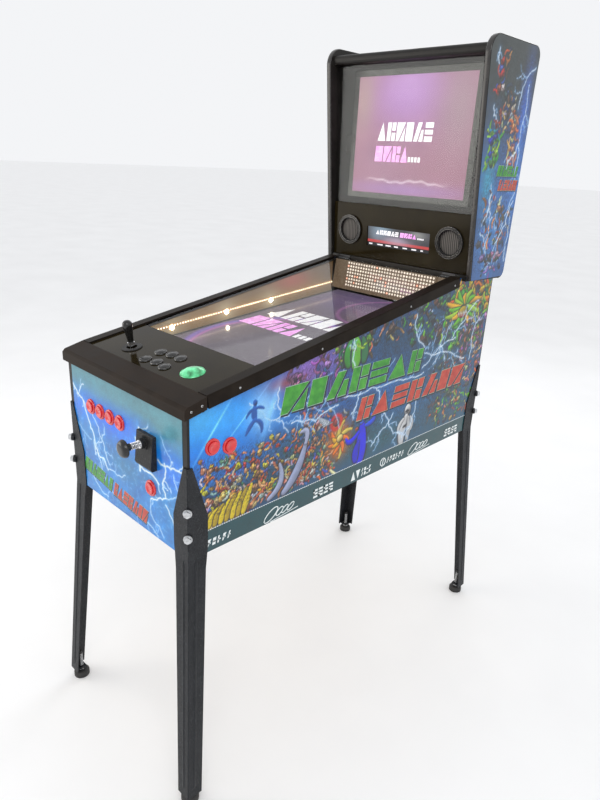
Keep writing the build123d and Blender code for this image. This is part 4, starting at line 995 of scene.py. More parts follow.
def paint_front():
    """The cabinet's front: grey-blue sky at the top, bright storm below, with forked lightning."""
    art = Canvas((-HALF, HALF), (BOTTOM, 920), 1.0, 7)
    clouds = cloud_noise(art.u.shape, (5, 7), 21)[..., None]
    fine = cloud_noise(art.u.shape, (16, 22), 22)[..., None]
    height = np.clip((art.v - BOTTOM) / 313, 0, 1)[..., None]
    lower = np.asarray((0.045, 0.215, 0.52)) * (0.75 + 0.5 * clouds) + np.asarray((0.06, 0.17,
                                                                                   0.20)) * (fine - 0.3)
    upper = np.asarray((0.150, 0.325, 0.375)) * (0.88 + 0.24 * clouds)
    edge = np.clip((height - 0.66 + 0.16 * (clouds - 0.5)) / 0.16, 0, 1)
    art.rgb = lower * (1 - edge) + upper * edge
    art.wash(-40, 815, (120, 34), (0.03, 0.22, 0.80), 0.9)
    art.wash(-150, 815, (70, 40), (0.04, 0.24, 0.78), 0.8)
    art.wash(-160, 760, (50, 40), (0.05, 0.30, 0.55), 0.5)
    art.wash(40, 800, (60, 40), (0.05, 0.28, 0.80), 0.8)
    art.wash(175, 775, (45, 40), (0.04, 0.22, 0.78), 0.8)
    art.wash(0, 730, (70, 40), (0.07, 0.24, 0.34), 0.6)
    art.wash(190, 690, (60, 60), (0.08, 0.32, 0.58), 0.6)
    for start, end, jitter, power, width in (
        ((-214, 868), (-188, 838), 8, 0.95, 1.8), ((-188, 838), (-160, 868), 8, 0.8, 1.3),
        ((-188, 838), (-150, 790), 12, 1.0, 1.8), ((-150, 790), (-112, 712), 16, 1.0, 2.0),
        ((-112, 712), (-74, 690), 12, 0.95, 1.7), ((-150, 812), (-66, 706), 24, 0.8, 1.3),
        ((-92, 770), (-118, 738), 10, 0.7, 1.2), ((-92, 770), (-78, 792), 8, 0.7, 1.2),
        ((-120, 740), (-60, 640), 24, 0.75, 1.4), ((-74, 690), (0, 706), 14, 0.7, 1.3),
        ((60, 742), (62, 838), 8, 1.0, 3.2), ((62, 838), (96, 852), 6, 0.7, 1.6),
        ((60, 752), (128, 738), 8, 0.9, 2.4),
        ((128, 792), (214, 800), 16, 1.0, 1.9), ((140, 846), (180, 800), 8, 0.6, 1.2),
        ((150, 792), (152, 716), 14, 1.0, 1.9), ((152, 716), (96, 690), 12, 0.9, 1.7),
        ((152, 716), (214, 724), 14, 0.7, 1.3), ((150, 700), (214, 612), 18, 0.9, 1.6),
        ((96, 690), (140, 620), 20, 0.7, 1.3), ((-214, 690), (-80, 620), 26, 0.7, 1.3),
        ((-180, 730), (-190, 620), 24, 0.6, 1.2), ((-60, 640), (120, 612), 22, 0.7, 1.3),
        ((-214, 778), (-140, 742), 14, 0.6, 1.2), ((180, 780), (212, 742), 12, 0.7, 1.3),
    ):
        art.bolt(start, end, jitter, power, width, 2, 4)
    art.strike((0.45, 0.74, 1.0))
    for _ in range(260):
        u, v = art.rng.uniform(-214, 214), art.rng.uniform(BOTTOM, 800)
        turn, reach = art.rng.uniform(0, 6.28), art.rng.uniform(4, 12)
        art.bolt((u, v), (u + reach * math.cos(turn), v + reach * math.sin(turn)), 3, 0.32, 0.9, 0, 2)
    art.strike((0.36, 0.66, 0.95))
    art.deepen()
    return art


def paint_backbox(seed):
    """The backbox's side: dark grey-green sky over stormy blue, with scattered bright forms."""
    art = Canvas((800, 1080), (SHELF_TOP, 1650), 1.0, seed)
    clouds = cloud_noise(art.u.shape, (8, 4), seed)[..., None]
    fine = cloud_noise(art.u.shape, (30, 14), seed + 1)[..., None]
    height = np.clip((art.v - SHELF_TOP) / 573, 0, 1)[..., None]
    low = np.asarray((0.06, 0.15, 0.34)) * (0.4 + 1.0 * clouds)
    high = np.asarray((0.040, 0.055, 0.055)) * (0.7 + 0.5 * clouds)
    edge = np.clip((height - 0.48 + 0.3 * (clouds - 0.5)) / 0.32, 0, 1)
    art.rgb = low * (1 - edge) + high * edge + 0.03 * (fine - 0.4)
    art.wash(1035, 1480, (24, 120), (0.08, 0.18, 0.55), 0.9)
    art.wash(1045, 1330, (24, 110), (0.10, 0.26, 0.60), 0.9)
    art.wash(950, 1200, (60, 90), (0.10, 0.28, 0.55), 0.7)
    art.wash(900, 1330, (30, 60), (0.10, 0.40, 0.50), 0.7)
    for start, end in (((1060, 1600), (1000, 1500)), ((1040, 1560), (1030, 1420)),
                       ((1030, 1420), (1052, 1300)),
                       ((1052, 1300), (1000, 1180)), ((1000, 1180), (960, 1090)), ((880, 1500), (905, 1465)),
                       ((920, 1320), (900, 1200)), ((900, 1200), (950, 1110)), ((1040, 1250), (1050, 1120)),
                       ((985, 1290), (930, 1160)), ((870, 1620), (880, 1570))):
        art.bolt(start, end, 18, 0.85, 1.4, 3)
    art.strike()
    art.lumps = 1.0
    art.crowd((875, 900), (1520, 1600), ((0.50, 0.06, 0.04), (0.40, 0.12, 0.08), (0.14, 0.18, 0.45)), 14,
              (6, 13), 0.6)
    art.crowd((895, 925), (1570, 1625), SKINS + DARKS, 9, (5, 10), 0.6)
    art.crowd((900, 990), (1440, 1540), DARKS + SKINS[2:4] + BRIGHTS[2:3], 50, (5, 14), 0.6)
    art.crowd((895, 915), (1440, 1490), ((0.42, 0.08, 0.05),), 10, (5, 11), 0.7)
    art.crowd((875, 930), (1360, 1440), GREENS[1:2] + GREENS[3:] + GREENS[:1], 34, (7, 15), 0.6)
    art.crowd((885, 915), (1390, 1450), ((0.06, 0.30, 0.42), (0.05, 0.09, 0.50)), 14, (6, 12), 0.5)
    art.crowd((975, 1020), (1370, 1470), SKINS, 32, (6, 14), 0.7)
    art.crowd((900, 1040), (1150, 1290), DARKS + SKINS[1:3] + BRIGHTS[2:4], 60, (5, 13), 0.6)
    art.crowd((920, 1030), (1090, 1150), DARKS + VIOLETS, 34, (5, 12), 0.6)
    art.etch((870, 1070), (1085, 1640), (34, 14), 80, 0.6, 0.4, 18.0)
    for start, end in (((1030, 1420), (985, 1360)), ((930, 1300), (905, 1230)), ((1050, 1280), (985, 1170))):
        art.bolt(start, end, 16, 0.9, 1.4, 2)
    art.strike()
    art.deepen()
    return art


def paint_playfield():
    """The playfield display's picture: grey-lilac haze with a pink and violet arc."""
    art = Canvas((-200, 200), (170, 890), 1.5, 3)
    clouds = cloud_noise(art.u.shape, (7, 4), 5)[..., None]
    art.rgb = np.asarray((0.25, 0.20, 0.26)) * (0.8 + 0.4 * clouds)
    art.wash(-60, 800, (150, 120), (0.26, 0.18, 0.42), 0.7)
    art.wash(120, 800, (110, 110), (0.42, 0.26, 0.50), 0.6)
    art.wash(-120, 420, (90, 160), (0.28, 0.22, 0.24), 0.5)
    art.ring(20, 390, 196, 5, (0.95, 0.22, 0.80), 0.95)
    art.ring(20, 390, 208, 9, (0.40, 0.24, 1.0), 0.85)
    art.ring(20, 390, 190, 22, (0.62, 0.36, 0.66), 0.35)
    art.ring(70, 760, 120, 6, (0.80, 0.34, 0.78), 0.5)
    art.rgb *= (0.9 + 0.2 * cloud_noise(art.u.shape, (40, 24), 9))[..., None]
    for _ in range(90):
        art.wash(art.rng.uniform(-195, 195), art.rng.uniform(180, 880), (1.6, 1.6), (0.95, 0.92, 0.95), 0.8)
    return art


def paint_backglass():
    """The upper display's picture: a pink haze, brightest at the top, over a pale horizon."""
    art = Canvas((-190, 190), (1270, 1585), 1.5, 4)
    clouds = cloud_noise(art.u.shape, (4, 5), 6)[..., None]
    art.rgb = np.asarray((0.56, 0.24, 0.36)) * (0.9 + 0.2 * clouds)
    art.wash(-20, 1530, (130, 90), (0.72, 0.34, 0.86), 0.95)
    art.wash(-10, 1560, (70, 50), (0.84, 0.44, 0.97), 0.8)
    art.wash(150, 1500, (70, 120), (0.58, 0.38, 0.46), 0.8)
    art.wash(-170, 1520, (40, 90), (0.68, 0.44, 0.44), 0.8)
    art.wash(-80, 1350, (110, 70), (0.60, 0.30, 0.46), 0.7)
    art.wash(-110, 1385, (40, 26), (0.42, 0.18, 0.34), 0.5)
    art.wash(-70, 1400, (16, 30), (0.44, 0.20, 0.36), 0.5)
    art.wash(0, 1290, (190, 18), (0.58, 0.30, 0.70), 0.9)
    horizon = 1312 + 3 * np.sin(art.u / 23) + 2 * np.sin(art.u / 7)
    glow = np.exp(-(((art.v - horizon) / 3.0) ** 2)) * np.clip((150 - np.abs(art.u)) / 60, 0, 1)
    art.rgb += glow[..., None] * np.asarray((0.5, 0.5, 0.5))
    art.rgb *= (0.93 + 0.14 * cloud_noise(art.u.shape, (20, 24), 10))[..., None]
    return art


def skin(name, rows, colours, body, material, sink, drop=None):
    """A printed sheet on a surface: a grid of points with its border turned back into the board behind it.

    rows are lists of points, colours their paint, sink the vector into the board, drop a test for holes.
    """
    height, width = len(rows), len(rows[0])
    points = [Vector(p) for row in rows for p in row]
    faces = []
    for r in range(height - 1):
        for i in range(width - 1):
            a = r * width + i
            if drop and drop((points[a] + points[a + width + 1]) / 2):
                continue
            faces.append((a, a + 1, a + width + 1, a + width))
    border = list(range(width)) + [r * width + width - 1 for r in range(1, height)]
    border += [(height - 1) * width + i for i in range(width - 2, -1, -1)]
    border += [r * width for r in range(height - 2, 0, -1)]
    start = len(points)
    points += [points[i] + Vector(sink) for i in border]
    count = len(border)
    faces += [(border[k], border[(k + 1) % count], start + (k + 1) % count, start + k) for k in range(count)]
    shape = Shape()
    shape.add(points, faces)
    obj = piece(name, shape, body, material)
    paint = obj.data.color_attributes.new("paint", "FLOAT_COLOR", "POINT")
    rgba = np.ones((len(points), 4), np.float32)
    rgba[:start, :3] = np.clip(colours, 0, 1)
    rgba[start:, :3] = rgba[border, :3]
    paint.data.foreach_set("color", rgba.ravel())
    return obj


def painted(art, rows, first, second):
    """A picture's colours at a skin's points, read along two of their axes."""
    flat = np.array([point for row in rows for point in row])
    return art.read(flat[:, first], flat[:, second])


def near_any(centres, radius):
    """A test for a point, given as two coordinates, that is near any of some centres."""
    def test(first, second):
        return any((first - a) ** 2 + (second - b) ** 2 < radius**2 for a, b in centres)
    return test


GRID = 2.0


def side_top(y):
    """Top edge of the side print, hidden under the lock bar and the rail."""
    if y < DECK_START:
        return 914.0
    if y < DECK_END:
        return deck_height(y) - 17
    return SHELF_TOP - 0.5


def side_art(side_name, side):
    """The print on a cabinet side."""
    art = paint_side(11 if side > 0 else 12)
    ys = np.arange(6.0, LENGTH - 3.5, GRID)
    steps = np.linspace(0, 1, 160)
    tops = np.array([side_top(y) for y in ys])
    rows = [[(side * (HALF + SKIN), y, BOTTOM + 0.5 + t * (top - BOTTOM - 0.5)) for y, top in zip(ys, tops)]
            for t in steps]
    flipper = near_any(FLIPPERS, RED_HOLE)
    skin(f"side_art_{side_name}", rows, painted(art, rows, 1, 2), "cabinet", M["art"],
         (-side * 2 * SKIN, 0, 0), lambda p: flipper(p.y, p.z))


def front_art():
    """The print on the cabinet's front."""
    art = paint_front()
    xs = np.linspace(-INNER - 1, INNER + 1, 226)
    zs = np.linspace(BOTTOM + 0.5, 914, 155)
    rows = [[(x, -SKIN, z) for x in xs] for z in zs]
    buttons = near_any(FRONT_BUTTONS + (LAUNCH,), RED_HOLE)
    plunger = near_any((SHOOTER,), 12.0)
    skin("front_art", rows, painted(art, rows, 0, 2), "cabinet", M["art"],
         (0, 2 * SKIN, 0), lambda p: buttons(p.x, p.z) or plunger(p.x, p.z))


BACKBOX_EDGE = rounded_outline(BACKBOX_OUTLINE, BACKBOX_RADII)


def outline_span(outline, z):
    """Lowest and highest first coordinate of a closed convex outline at a height."""
    found = []
    for a, b in zip(outline, outline[1:] + outline[:1]):
        if min(a[1], b[1]) <= z <= max(a[1], b[1]) and abs(a[1] - b[1]) > 1e-9:
            found.append(a[0] + (b[0] - a[0]) * (z - a[1]) / (b[1] - a[1]))
    return min(found), max(found)


def backbox_art(side_name, side):
    """The print on a backbox side, inside its rounded outline."""
    art = paint_backbox(31 if side > 0 else 32)
    inset = 0.8
    zs = 1362 + 284.5 * np.sin(np.linspace(-math.pi / 2, math.pi / 2, 230))
    rows = []
    for z in zs:
        low, high = outline_span(BACKBOX_EDGE, max(1079.6, z))
        rows.append([(side * (BACKBOX_HALF + SKIN), y, max(1079.6, z))
                     for y in np.linspace(low + inset, high - inset, 110)])
    skin(f"backbox_art_{side_name}", rows, painted(art, rows, 1, 2), "backbox", M["art"],
         (-side * 2 * SKIN, 0, 0))


for side_name, side in SIDES.items():
    side_art(side_name, side)
    backbox_art(side_name, side)
front_art()


# ---------------------------------------------------------------- display pictures
def playfield_picture():
    """The playfield display's picture, on its face."""
    art = paint_playfield()
    xs = np.linspace(-PLAYFIELD_HALF, PLAYFIELD_HALF, 180)
    ys = np.linspace(*PLAYFIELD_Y, 300)
    rows = [[(x, y, screen_height(y) + PICTURE_LIFT) for x in xs] for y in ys]
    skin("playfield_picture", rows, painted(art, rows, 0, 1), "cabinet",
         M["playfield_picture"], (0, 0, -2 * PICTURE_LIFT))


def backglass_picture():
    """The upper display's picture, on its face."""
    art = paint_backglass()
    xs = np.linspace(-BACKGLASS_HALF, BACKGLASS_HALF, 190)
    zs = np.linspace(*BACKGLASS_Z, 152)
    rows = [[(x, BACK_SCREEN_Y - PICTURE_LIFT, z) for x in xs] for z in zs]
    skin("backglass_picture", rows, painted(art, rows, 0, 2), "backbox",
         M["backglass_picture"], (0, 2 * PICTURE_LIFT, 0))


def score_picture():
    """The low display's picture: a pale haze over grey, with a red band and a dark strip below it."""
    art = Canvas((-111, 111), (37, 95), 0.75, 12)
    art.rgb = np.asarray((0.10, 0.10, 0.115)) * (0.8 + 0.5 * cloud_noise(art.u.shape, (4, 9), 3))[..., None]
    art.wash(-62, 88, (34, 22), (0.36, 0.50, 0.62), 0.85)
    art.wash(-78, 68, (20, 16), (0.34, 0.40, 0.50), 0.6)
    art.wash(-8, 62, (40, 9), (0.62, 0.52, 0.66), 0.75)
    art.wash(66, 84, (26, 12), (0.55, 0.56, 0.54), 0.6)
    art.rgb[art.v < 56.5] = (0.74, 0.10, 0.10)
    art.wash(-5, 54, (44, 8), (0.72, 0.50, 0.62), 0.7)
    art.rgb[art.v < 49.0] = (0.045, 0.045, 0.05)
    xs = np.linspace(-SCORE_HALF, SCORE_HALF, 180)
    ups = np.linspace(*SCORE_UP, 60)
    place = face_place(0, 0)
    rows = [[place.point(x, up, -SCORE_SINK) for x in xs] for up in ups]
    u, v = np.meshgrid(xs, ups)
    skin("score_picture", rows, art.read(u.ravel(), v.ravel()), "backbox", M["score_picture"],
         tuple(-0.7 * place.z))


playfield_picture()
backglass_picture()
score_picture()


# ---------------------------------------------------------------- raised blocks and marks on the prints
def slanted(u, v, width, height, lean, points):
    """Points given as fractions of a block's width and height, leaned over."""
    return [(u + a * width + b * height * lean, v + b * height) for a, b in points]


BLOCK_FORMS = (
    (((0, 0), (0.42, 0), (0.78, 1), (0.36, 1)), ((0.56, 0), (1, 0), (1, 0.62), (0.78, 0.62))),
    (((0, 0), (1, 0), (1, 1), (0, 1)),),
    (((0, 0), (1, 0), (1, 0.28), (0, 0.28)), ((0, 0.38), (1, 0.38), (1, 0.62), (0, 0.62)),
     ((0, 0.72), (1, 0.72), (1, 1), (0, 1))),
    (((0, 0), (0.3, 0), (1, 1), (0, 1)), ((0.45, 0), (1, 0), (1, 0.78))),
    (((0, 0), (0.44, 0), (0.44, 1), (0, 1)), ((0.56, 0), (1, 0), (1, 0.45), (0.56, 0.45)),
     ((0.56, 0.56), (1, 0.56), (1, 1), (0.56, 1))),
    (((0, 0.5), (0.5, 0), (1, 0.5), (0.5, 1)),),
    (((0, 0), (1, 0), (0.5, 1)),),
)


def grown(points, amount):
    """A convex outline pushed out about its middle."""
    middle = Vector((sum(p[0] for p in points), sum(p[1] for p in points))) / len(points)
    result = []
    for point in points:
        away = Vector(point) - middle
        result.append(tuple(Vector(point) + away.normalized() * amount * 1.35))
    return result


def block_band(name, place, u, v, height, widths, forms, lean, body, colour, shadow=(3.0, -3.0)):
    """A row of slanted blocks, each with a pale rim over a dark shadow."""
    shape = Shape()
    gap = 0.2 * sum(widths) / len(widths)
    scale = (u[1] - u[0]) / (sum(widths) + gap * (len(widths) - 1))
    at = u[0]
    for width, form in zip(widths, forms):
        for part in BLOCK_FORMS[form]:
            points = slanted(at, v, width * scale, height, lean, part)
            under = [(a + shadow[0], b + shadow[1]) for a, b in points]
            shape.prism(place, grown(under, 0.045 * height), SKIN - 0.1, SKIN + 0.12, 1)
            shape.prism(place, grown(points, 0.024 * height), SKIN, SKIN + 0.2, 2)
            shape.prism(place, points, SKIN, SKIN + 0.3, 0)
        at += (width + gap) * scale
    return piece(name, shape, body, [colour, M["ink"], M["rim_ink"]])


class Tilted(Place):
    """A surface frame moved to a point and turned a little."""

    def __init__(self, place, u, v, slope):
        super().__init__(place.point(u, v, 0), place.x + place.y * slope, place.z)


def upright_side(x, side):
    """A frame on a side, with its first axis backwards and its second up on the right and on the left."""
    place = Place((x, 0, 0), (0, 1, 0), (side, 0, 0))
    place.y = UP.copy()
    return place


BAND_FORMS = (3, 1, 0, 4, 2, 6, 4)
BAND_WIDTHS = (76, 52, 72, 66, 72, 76, 56)
EMBLEM_Y = (57.0, 257.0, 388.0, 530.0, 660.0, 789.0, 944.0)
STRIPE_TOP = 658.0


def side_marks(side_name, side):
    """The cabinet side's two rows of blocks, dashed line and plain marks."""
    place = upright_side(side * HALF, side)
    block_band(f"side_green_blocks_{side_name}", place, (236, 735), 857, 58, BAND_WIDTHS, BAND_FORMS, 0.22,
               "cabinet", M["green_ink"])
    block_band(f"side_red_blocks_{side_name}", place, (490, 956), 776, 56, BAND_WIDTHS[::-1],
               BAND_FORMS[::-1], 0.28,
               "cabinet", M["red_ink"])
    dashes = Shape()
    dash = 4.0
    for k in range(int(LENGTH / (dash * 1.5))):
        y = 3 + k * dash * 1.5
        dashes.block(place, (y, y + dash), (STRIPE_TOP - 0.9, STRIPE_TOP + 0.9), (SKIN, SKIN + 0.2))
    piece(f"side_dashes_{side_name}", dashes, "cabinet", M["white_ink"])
    emblems = Shape()
    for number, y in enumerate(EMBLEM_Y):
        emblem(emblems, place, y, 627.0 - 1.2 * (number % 2), number)
    piece(f"side_emblems_{side_name}", emblems, "cabinet", M["white_ink"])


def emblem(shape, place, u, v, number):
    """A generic white mark: a small sign with a row of plain bars beside it."""
    low, high = SKIN, SKIN + 0.25
    kind = number % 4
    if kind == 0:
        shape.lathe(place.moved(u - 42, v), ((9, low), (12, low), (12, high), (9, high)), 32, closed=True)
        shape.prism(place, ((u - 46, v - 13), (u - 43, v - 13), (u - 38, v + 13), (u - 41, v + 13)), low,
                    high)
        for k in range(6):
            shape.prism(place, slanted(u - 26 + 13 * k, v - 8, 8, 16, 0.2,
                                       BLOCK_FORMS[(0, 3, 1, 4, 3, 0)[k]][0]), low,
                        high)
            shape.block(place, (u - 24 + 13 * k, u - 17 + 13 * k), (v - 2, v + 1), (low, high))
    elif kind == 1:
        for radius, start, turns, lean in ((15, -38, 1, 0.9), (9, -12, 1.2, 0.7), (8, 4, 1.2, 0.8),
                                           (8, 22, 1.3, 0.9)):
            loop = [place.point(u + start + radius * math.cos(t) + lean * radius * math.sin(t),
                                v + radius * math.sin(t),
                                SKIN + 0.2) for t in np.linspace(0.6, 0.6 + 2 * math.pi * turns, 30)]
            shape.tube(loop, 1.3, 6)
        tail = [place.point(u - 40 + 2.6 * k, v - 17 + 0.22 * k, SKIN + 0.2) for k in range(34)]
        shape.tube(tail, 1.0, 6)
    elif kind == 2:
        for k in range(4):
            x = u - 34 + 18 * k
            for y in (v - 11, v - 2.5, v + 6):
                shape.block(place, (x, x + 14), (y, y + 5), (low, high))
            shape.block(place, (x, x + 4.5), ((v - 11, v + 0) if k % 2 else (v - 2, v + 11)), (low, high))
    else:
        shape.prism(place, ((u - 40, v - 12), (u - 24, v - 12), (u - 32, v + 12)), low, high)
        shape.prism(place, ((u - 22, v + 12), (u - 6, v + 12), (u - 14, v - 12)), low, high)
        for k in range(4):
            for y in (v - 10, v + 2):
                shape.prism(place, slanted(u + 10 * k, y, 7, 9, 0.1, BLOCK_FORMS[k][0]), low, high)


def front_marks():
    """The front's two small rows of blocks."""
    place = Place((0, 0, 0), (1, 0, 0), (0, -1, 0))
    # The front's two rows fall a little towards the right.
    block_band("front_green_blocks", Tilted(place, -184, 656, -0.12), (0, 120), 0, 33, BAND_WIDTHS,
               BAND_FORMS, 0.2,
               "cabinet", M["green_ink"], (1.4, -1.6))
    block_band("front_red_blocks", Tilted(place, -56, 638, -0.12), (0, 132), 0, 34, BAND_WIDTHS[::-1],
               BAND_FORMS[::-1], 0.2, "cabinet", M["red_ink"], (1.4, -1.6))


def backbox_marks(side_name, side):
    """The backbox side's two small rows of blocks."""
    place = upright_side(side * BACKBOX_HALF, side)
    block_band(f"backbox_green_blocks_{side_name}", Tilted(place, 940, 1341, 0.0), (0, 104), 0, 25,
               BAND_WIDTHS,
               BAND_FORMS, 0.2, "backbox", M["green_ink"], (1.2, -1.2))
    block_band(f"backbox_red_blocks_{side_name}", Tilted(place, 956, 1306, 0.0), (0, 96), 0, 26,
               BAND_WIDTHS[::-1], BAND_FORMS[::-1], 0.2, "backbox", M["red_ink"], (1.2, -1.2))


for side_name, side in SIDES.items():
    side_marks(side_name, side)
    backbox_marks(side_name, side)
front_marks()


def display_marks():
    """The plain sign on the two large displays: a white row of blocks over a pink one."""
    forms, widths = (6, 4, 3, 1, 0, 2), (60, 62, 60, 52, 66, 56)
    tilt = math.atan(SCREEN_RISE)
    lying = Place((0, SCREEN_FRONT_Y, SCREEN_FRONT_Z + 0.1), (1, 0, 0), (0, -math.sin(tilt), math.cos(tilt)))
    upright = Place((0, BACK_SCREEN_Y - 0.1, 0), (1, 0, 0), (0, -1, 0))
    for name, place, u, v, size, body in (("playfield", lying, -168, 388, 1.42, "cabinet"),
                                          ("backglass", upright, -108, 1416, 0.82, "backbox")):
        white, pink = Shape(), Shape()
        at = u
        for form, width in zip(forms, widths):
            for part in BLOCK_FORMS[form]:
                white.prism(place, slanted(at, v, 0.55 * width * size, 58 * size, 0.05, part), 0.3, 0.7)
            at += 0.63 * width * size
        at = u - 6 * size
        for form, width in zip(forms[:4][::-1], widths[:4]):
            for part in BLOCK_FORMS[form]:
                pink.prism(place, slanted(at, v - 66 * size, 0.52 * width * size, 50 * size, 0.05, part), 0.3,
                           0.7)
            at += 0.6 * width * size
        for k in range(4):
            white.block(place, (at + 13 * k * size, at + (13 * k + 9) * size), (v - 64 * size, v - 48 * size),
                        (0.3, 0.7))
        piece(f"{name}_sign_white", white, body, M["sign_white"])
        piece(f"{name}_sign_pink", pink, body, M["sign_pink"])


display_marks()


def score_marks():
    """The low display's sign: white blocks, then pink ones, over a row of small dashes."""
    white, pink = Shape(), Shape()
    place = face_place(0, 0).moved(0, 0, -SCORE_SINK)
    for shape, forms, start, step in ((white, (6, 4, 3, 1, 0, 2), -80, 13.6), (pink, (1, 3, 4, 6), 6, 14.2)):
        for k, form in enumerate(forms):
            for part in BLOCK_FORMS[form]:
                shape.prism(place, slanted(start + step * k, 72, 0.86 * step, 13, 0.12, part), 0.05, 0.35)
    for k in range(5):
        white.block(place, (66 + 4.4 * k, 69 + 4.4 * k), (72, 76.5), (0.05, 0.35))
    for k, length in enumerate((12, 20, 19, 14, 15, 16, 8)):
        white.block(place, (-104 + 30.5 * k, -104 + 30.5 * k + length), (41.5, 45), (0.05, 0.35))
    piece("score_sign_white", white, "backbox", M["sign_white"])
    piece("score_sign_pink", pink, "backbox", M["sign_pink"])


score_marks()


# ---------------------------------------------------------------- controls
def rim_profile(rim, cap, barrel, board, height):
    """Section of a button's housing: rounded rim, barrel and nut, with the cap's bore."""
    bore = cap + 0.06
    return ((bore, -16), (bore, height - 0.7), (bore + 0.8, height), (0.55 * rim + 0.45 * bore, height + 0.1),
            (rim - 1.0, height - 0.5), (rim - 0.2, height - 1.5), (rim, 0.0), (barrel, 0.0), (barrel, -board),
            (min(rim - 0.3, barrel + 2.6), -board), (min(rim - 0.3, barrel + 2.6), -board - 6),
            (barrel, -board - 6), (barrel, -24), (bore, -24))


def button_rims():
    """Round rims, barrels and nuts of all the push buttons."""
    red, black, green = Shape(), Shape(), Shape()
    for x, z in FRONT_BUTTONS + (LAUNCH,):
        red.lathe(front_place(x, z), rim_profile(*RED_RIM), 56, closed=True)
    for side in SIDES.values():
        for y, z in FLIPPERS:
            red.lathe(side_place(y, z, side), rim_profile(*RED_RIM), 56, closed=True)
    piece("red_button_rims", red, "cabinet", M["red"], replaces=("button_housings",))
    for x, y in PANEL_BUTTONS:
        place = deck_place(x, y)
        black.lathe(place, rim_profile(14.0, 10.5, 12.0, 6, 2.5), 48, closed=True)
        shine = [(12.6 + 1.1 * math.cos(t), 2.35 + 0.55 * math.sin(t)) for t in np.linspace(0, 2 * math.pi,
                                                                                            9)[:-1]]
        black.lathe(place, shine, 48, mark=1, closed=True)
    piece("panel_button_rims", black, "cabinet", [M["black_plastic"], M["dark_chrome"]],
          replaces=("button_housings",))
    place = deck_place(*DOME)
    green.lathe(place, rim_profile(26.0, 23.5, 24.6, 6, 2.0), 72, closed=True)
    piece("dome_button_rim", green, "cabinet", M["green"], replaces=("button_housings",))


button_rims()


def coil(place, radius, wire, low, high, turns):
    """A coil spring along a frame's third axis."""
    points = []
    steps = turns * 20
    for k in range(steps + 1):
        turn = 2 * math.pi * turns * k / steps
        points.append(place.point(radius * math.cos(turn), radius * math.sin(turn),
                                  low + (high - low) * k / steps))
    shape = Shape()
    shape.tube(points, wire, 8)
    return shape


SPRING_COIL, SPRING_WIRE, SPRING_TURNS = 7.2, 0.8, 9
SLEEVE_END, COLLAR_Y, PLUNGER_TRAVEL = 40.0, 98.0, 45.0


def shooter():
    """The shooter's outer spring, main spring and washer."""
    place = front_place(*SHOOTER)
    piece("shooter_outer_spring", coil(place, 6.3, 1.05, 22.5, 42.5, 6), "plunger",
          M["chrome"])
    # The main spring lies between the sleeve's inner end and the rod's collar, which squeeze it as the knob
    # is pulled; here it is built at rest.
    spring = piece("shooter_main_spring", coil(place, SPRING_COIL, SPRING_WIRE, -COLLAR_Y + SPRING_WIRE,
                                               -SLEEVE_END - SPRING_WIRE, SPRING_TURNS),
                   "cabinet", M["chrome"], replaces=("plunger_spring",))
    tuple(place_point(*place.point(0, 0, -SLEEVE_END)))
    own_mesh(spring)
    collar = Shape()
    collar.lathe(place, ((4.9, 20.2), (8.6, 20.2), (8.9, 20.8), (8.6, 21.6), (4.9, 21.6)), 40, closed=True)
    piece("shooter_washer", collar, "plunger", M["chrome"])


shooter()


def screw(shape, place, radius=3.4, height=1.6):
    """A domed screw head with a cross recess given as a cross of a darker second material, painted shade for
    the recess.
    """
    dome = [(radius, 0.0)] + [(radius * math.cos(t), height * math.sin(t)) for t in np.linspace(0.2, 1.45, 6)]
    shape.lathe(place, dome + [(0, height)], 24)
    arm = 0.55 * radius
    # The dark cross is painted shade in the recess.
    for x, y in ((arm, 0.16 * radius), (0.16 * radius, arm)):
        shape.block(place, (-x, x), (-y, y), (height * 0.6, height + 0.06), 1)


def screws():
    """Screw heads on the rails, the speaker rings and the two rear boards."""
    rail, speaker, backbox, rear = Shape(), Shape(), Shape(), Shape()
    for side in SIDES.values():
        for y, z in ((347.0, 983.0), (659.0, 1036.0), (120.0, 945.5), (850.0, 1068.0)):
            screw(rail, Place((side * RAIL_HALF, y, z), (0, 1, 0), (side, 0, 0)), 2.4, 1.0)
        for y, z in ((6.0, 924.0), (30.0, 930.0)):
            screw(rail, Place((side * RAIL_HALF, y, z), (0, 1, 0), (side, 0, 0)), 2.6, 1.1)
    piece("rail_screws", rail, "cabinet", [M["zinc"], M["black_plastic"]])
    for side in SIDES.values():
        centre = face_place(side * SPEAKER_X, SPEAKER_UP)
        for k in range(4):
            turn = math.pi / 4 + k * math.pi / 2
            screw(speaker, centre.moved(38.6 * math.cos(turn), 38.6 * math.sin(turn), 5.9), 2.2, 0.9)
    piece("speaker_screws", speaker, "backbox", [M["dark_chrome"], M["black_plastic"]])
    for x in (-205, -70, 70, 205):
        for z in (635, 835, 1035):
            screw(rear, Place((x, LENGTH, z), (-1, 0, 0), (0, 1, 0)))
    piece("rear_panel_screws", rear, "cabinet", [M["zinc"], M["black_plastic"]])
    for x in (-228, -80, 80, 228):
        for z in (1100, 1260, 1420, 1590):
            screw(backbox, Place((x, BACK_BOARD_Y, z), (-1, 0, 0), (0, 1, 0)))
    piece("backbox_rear_screws", backbox, "backbox", [M["zinc"], M["black_plastic"]])


screws()


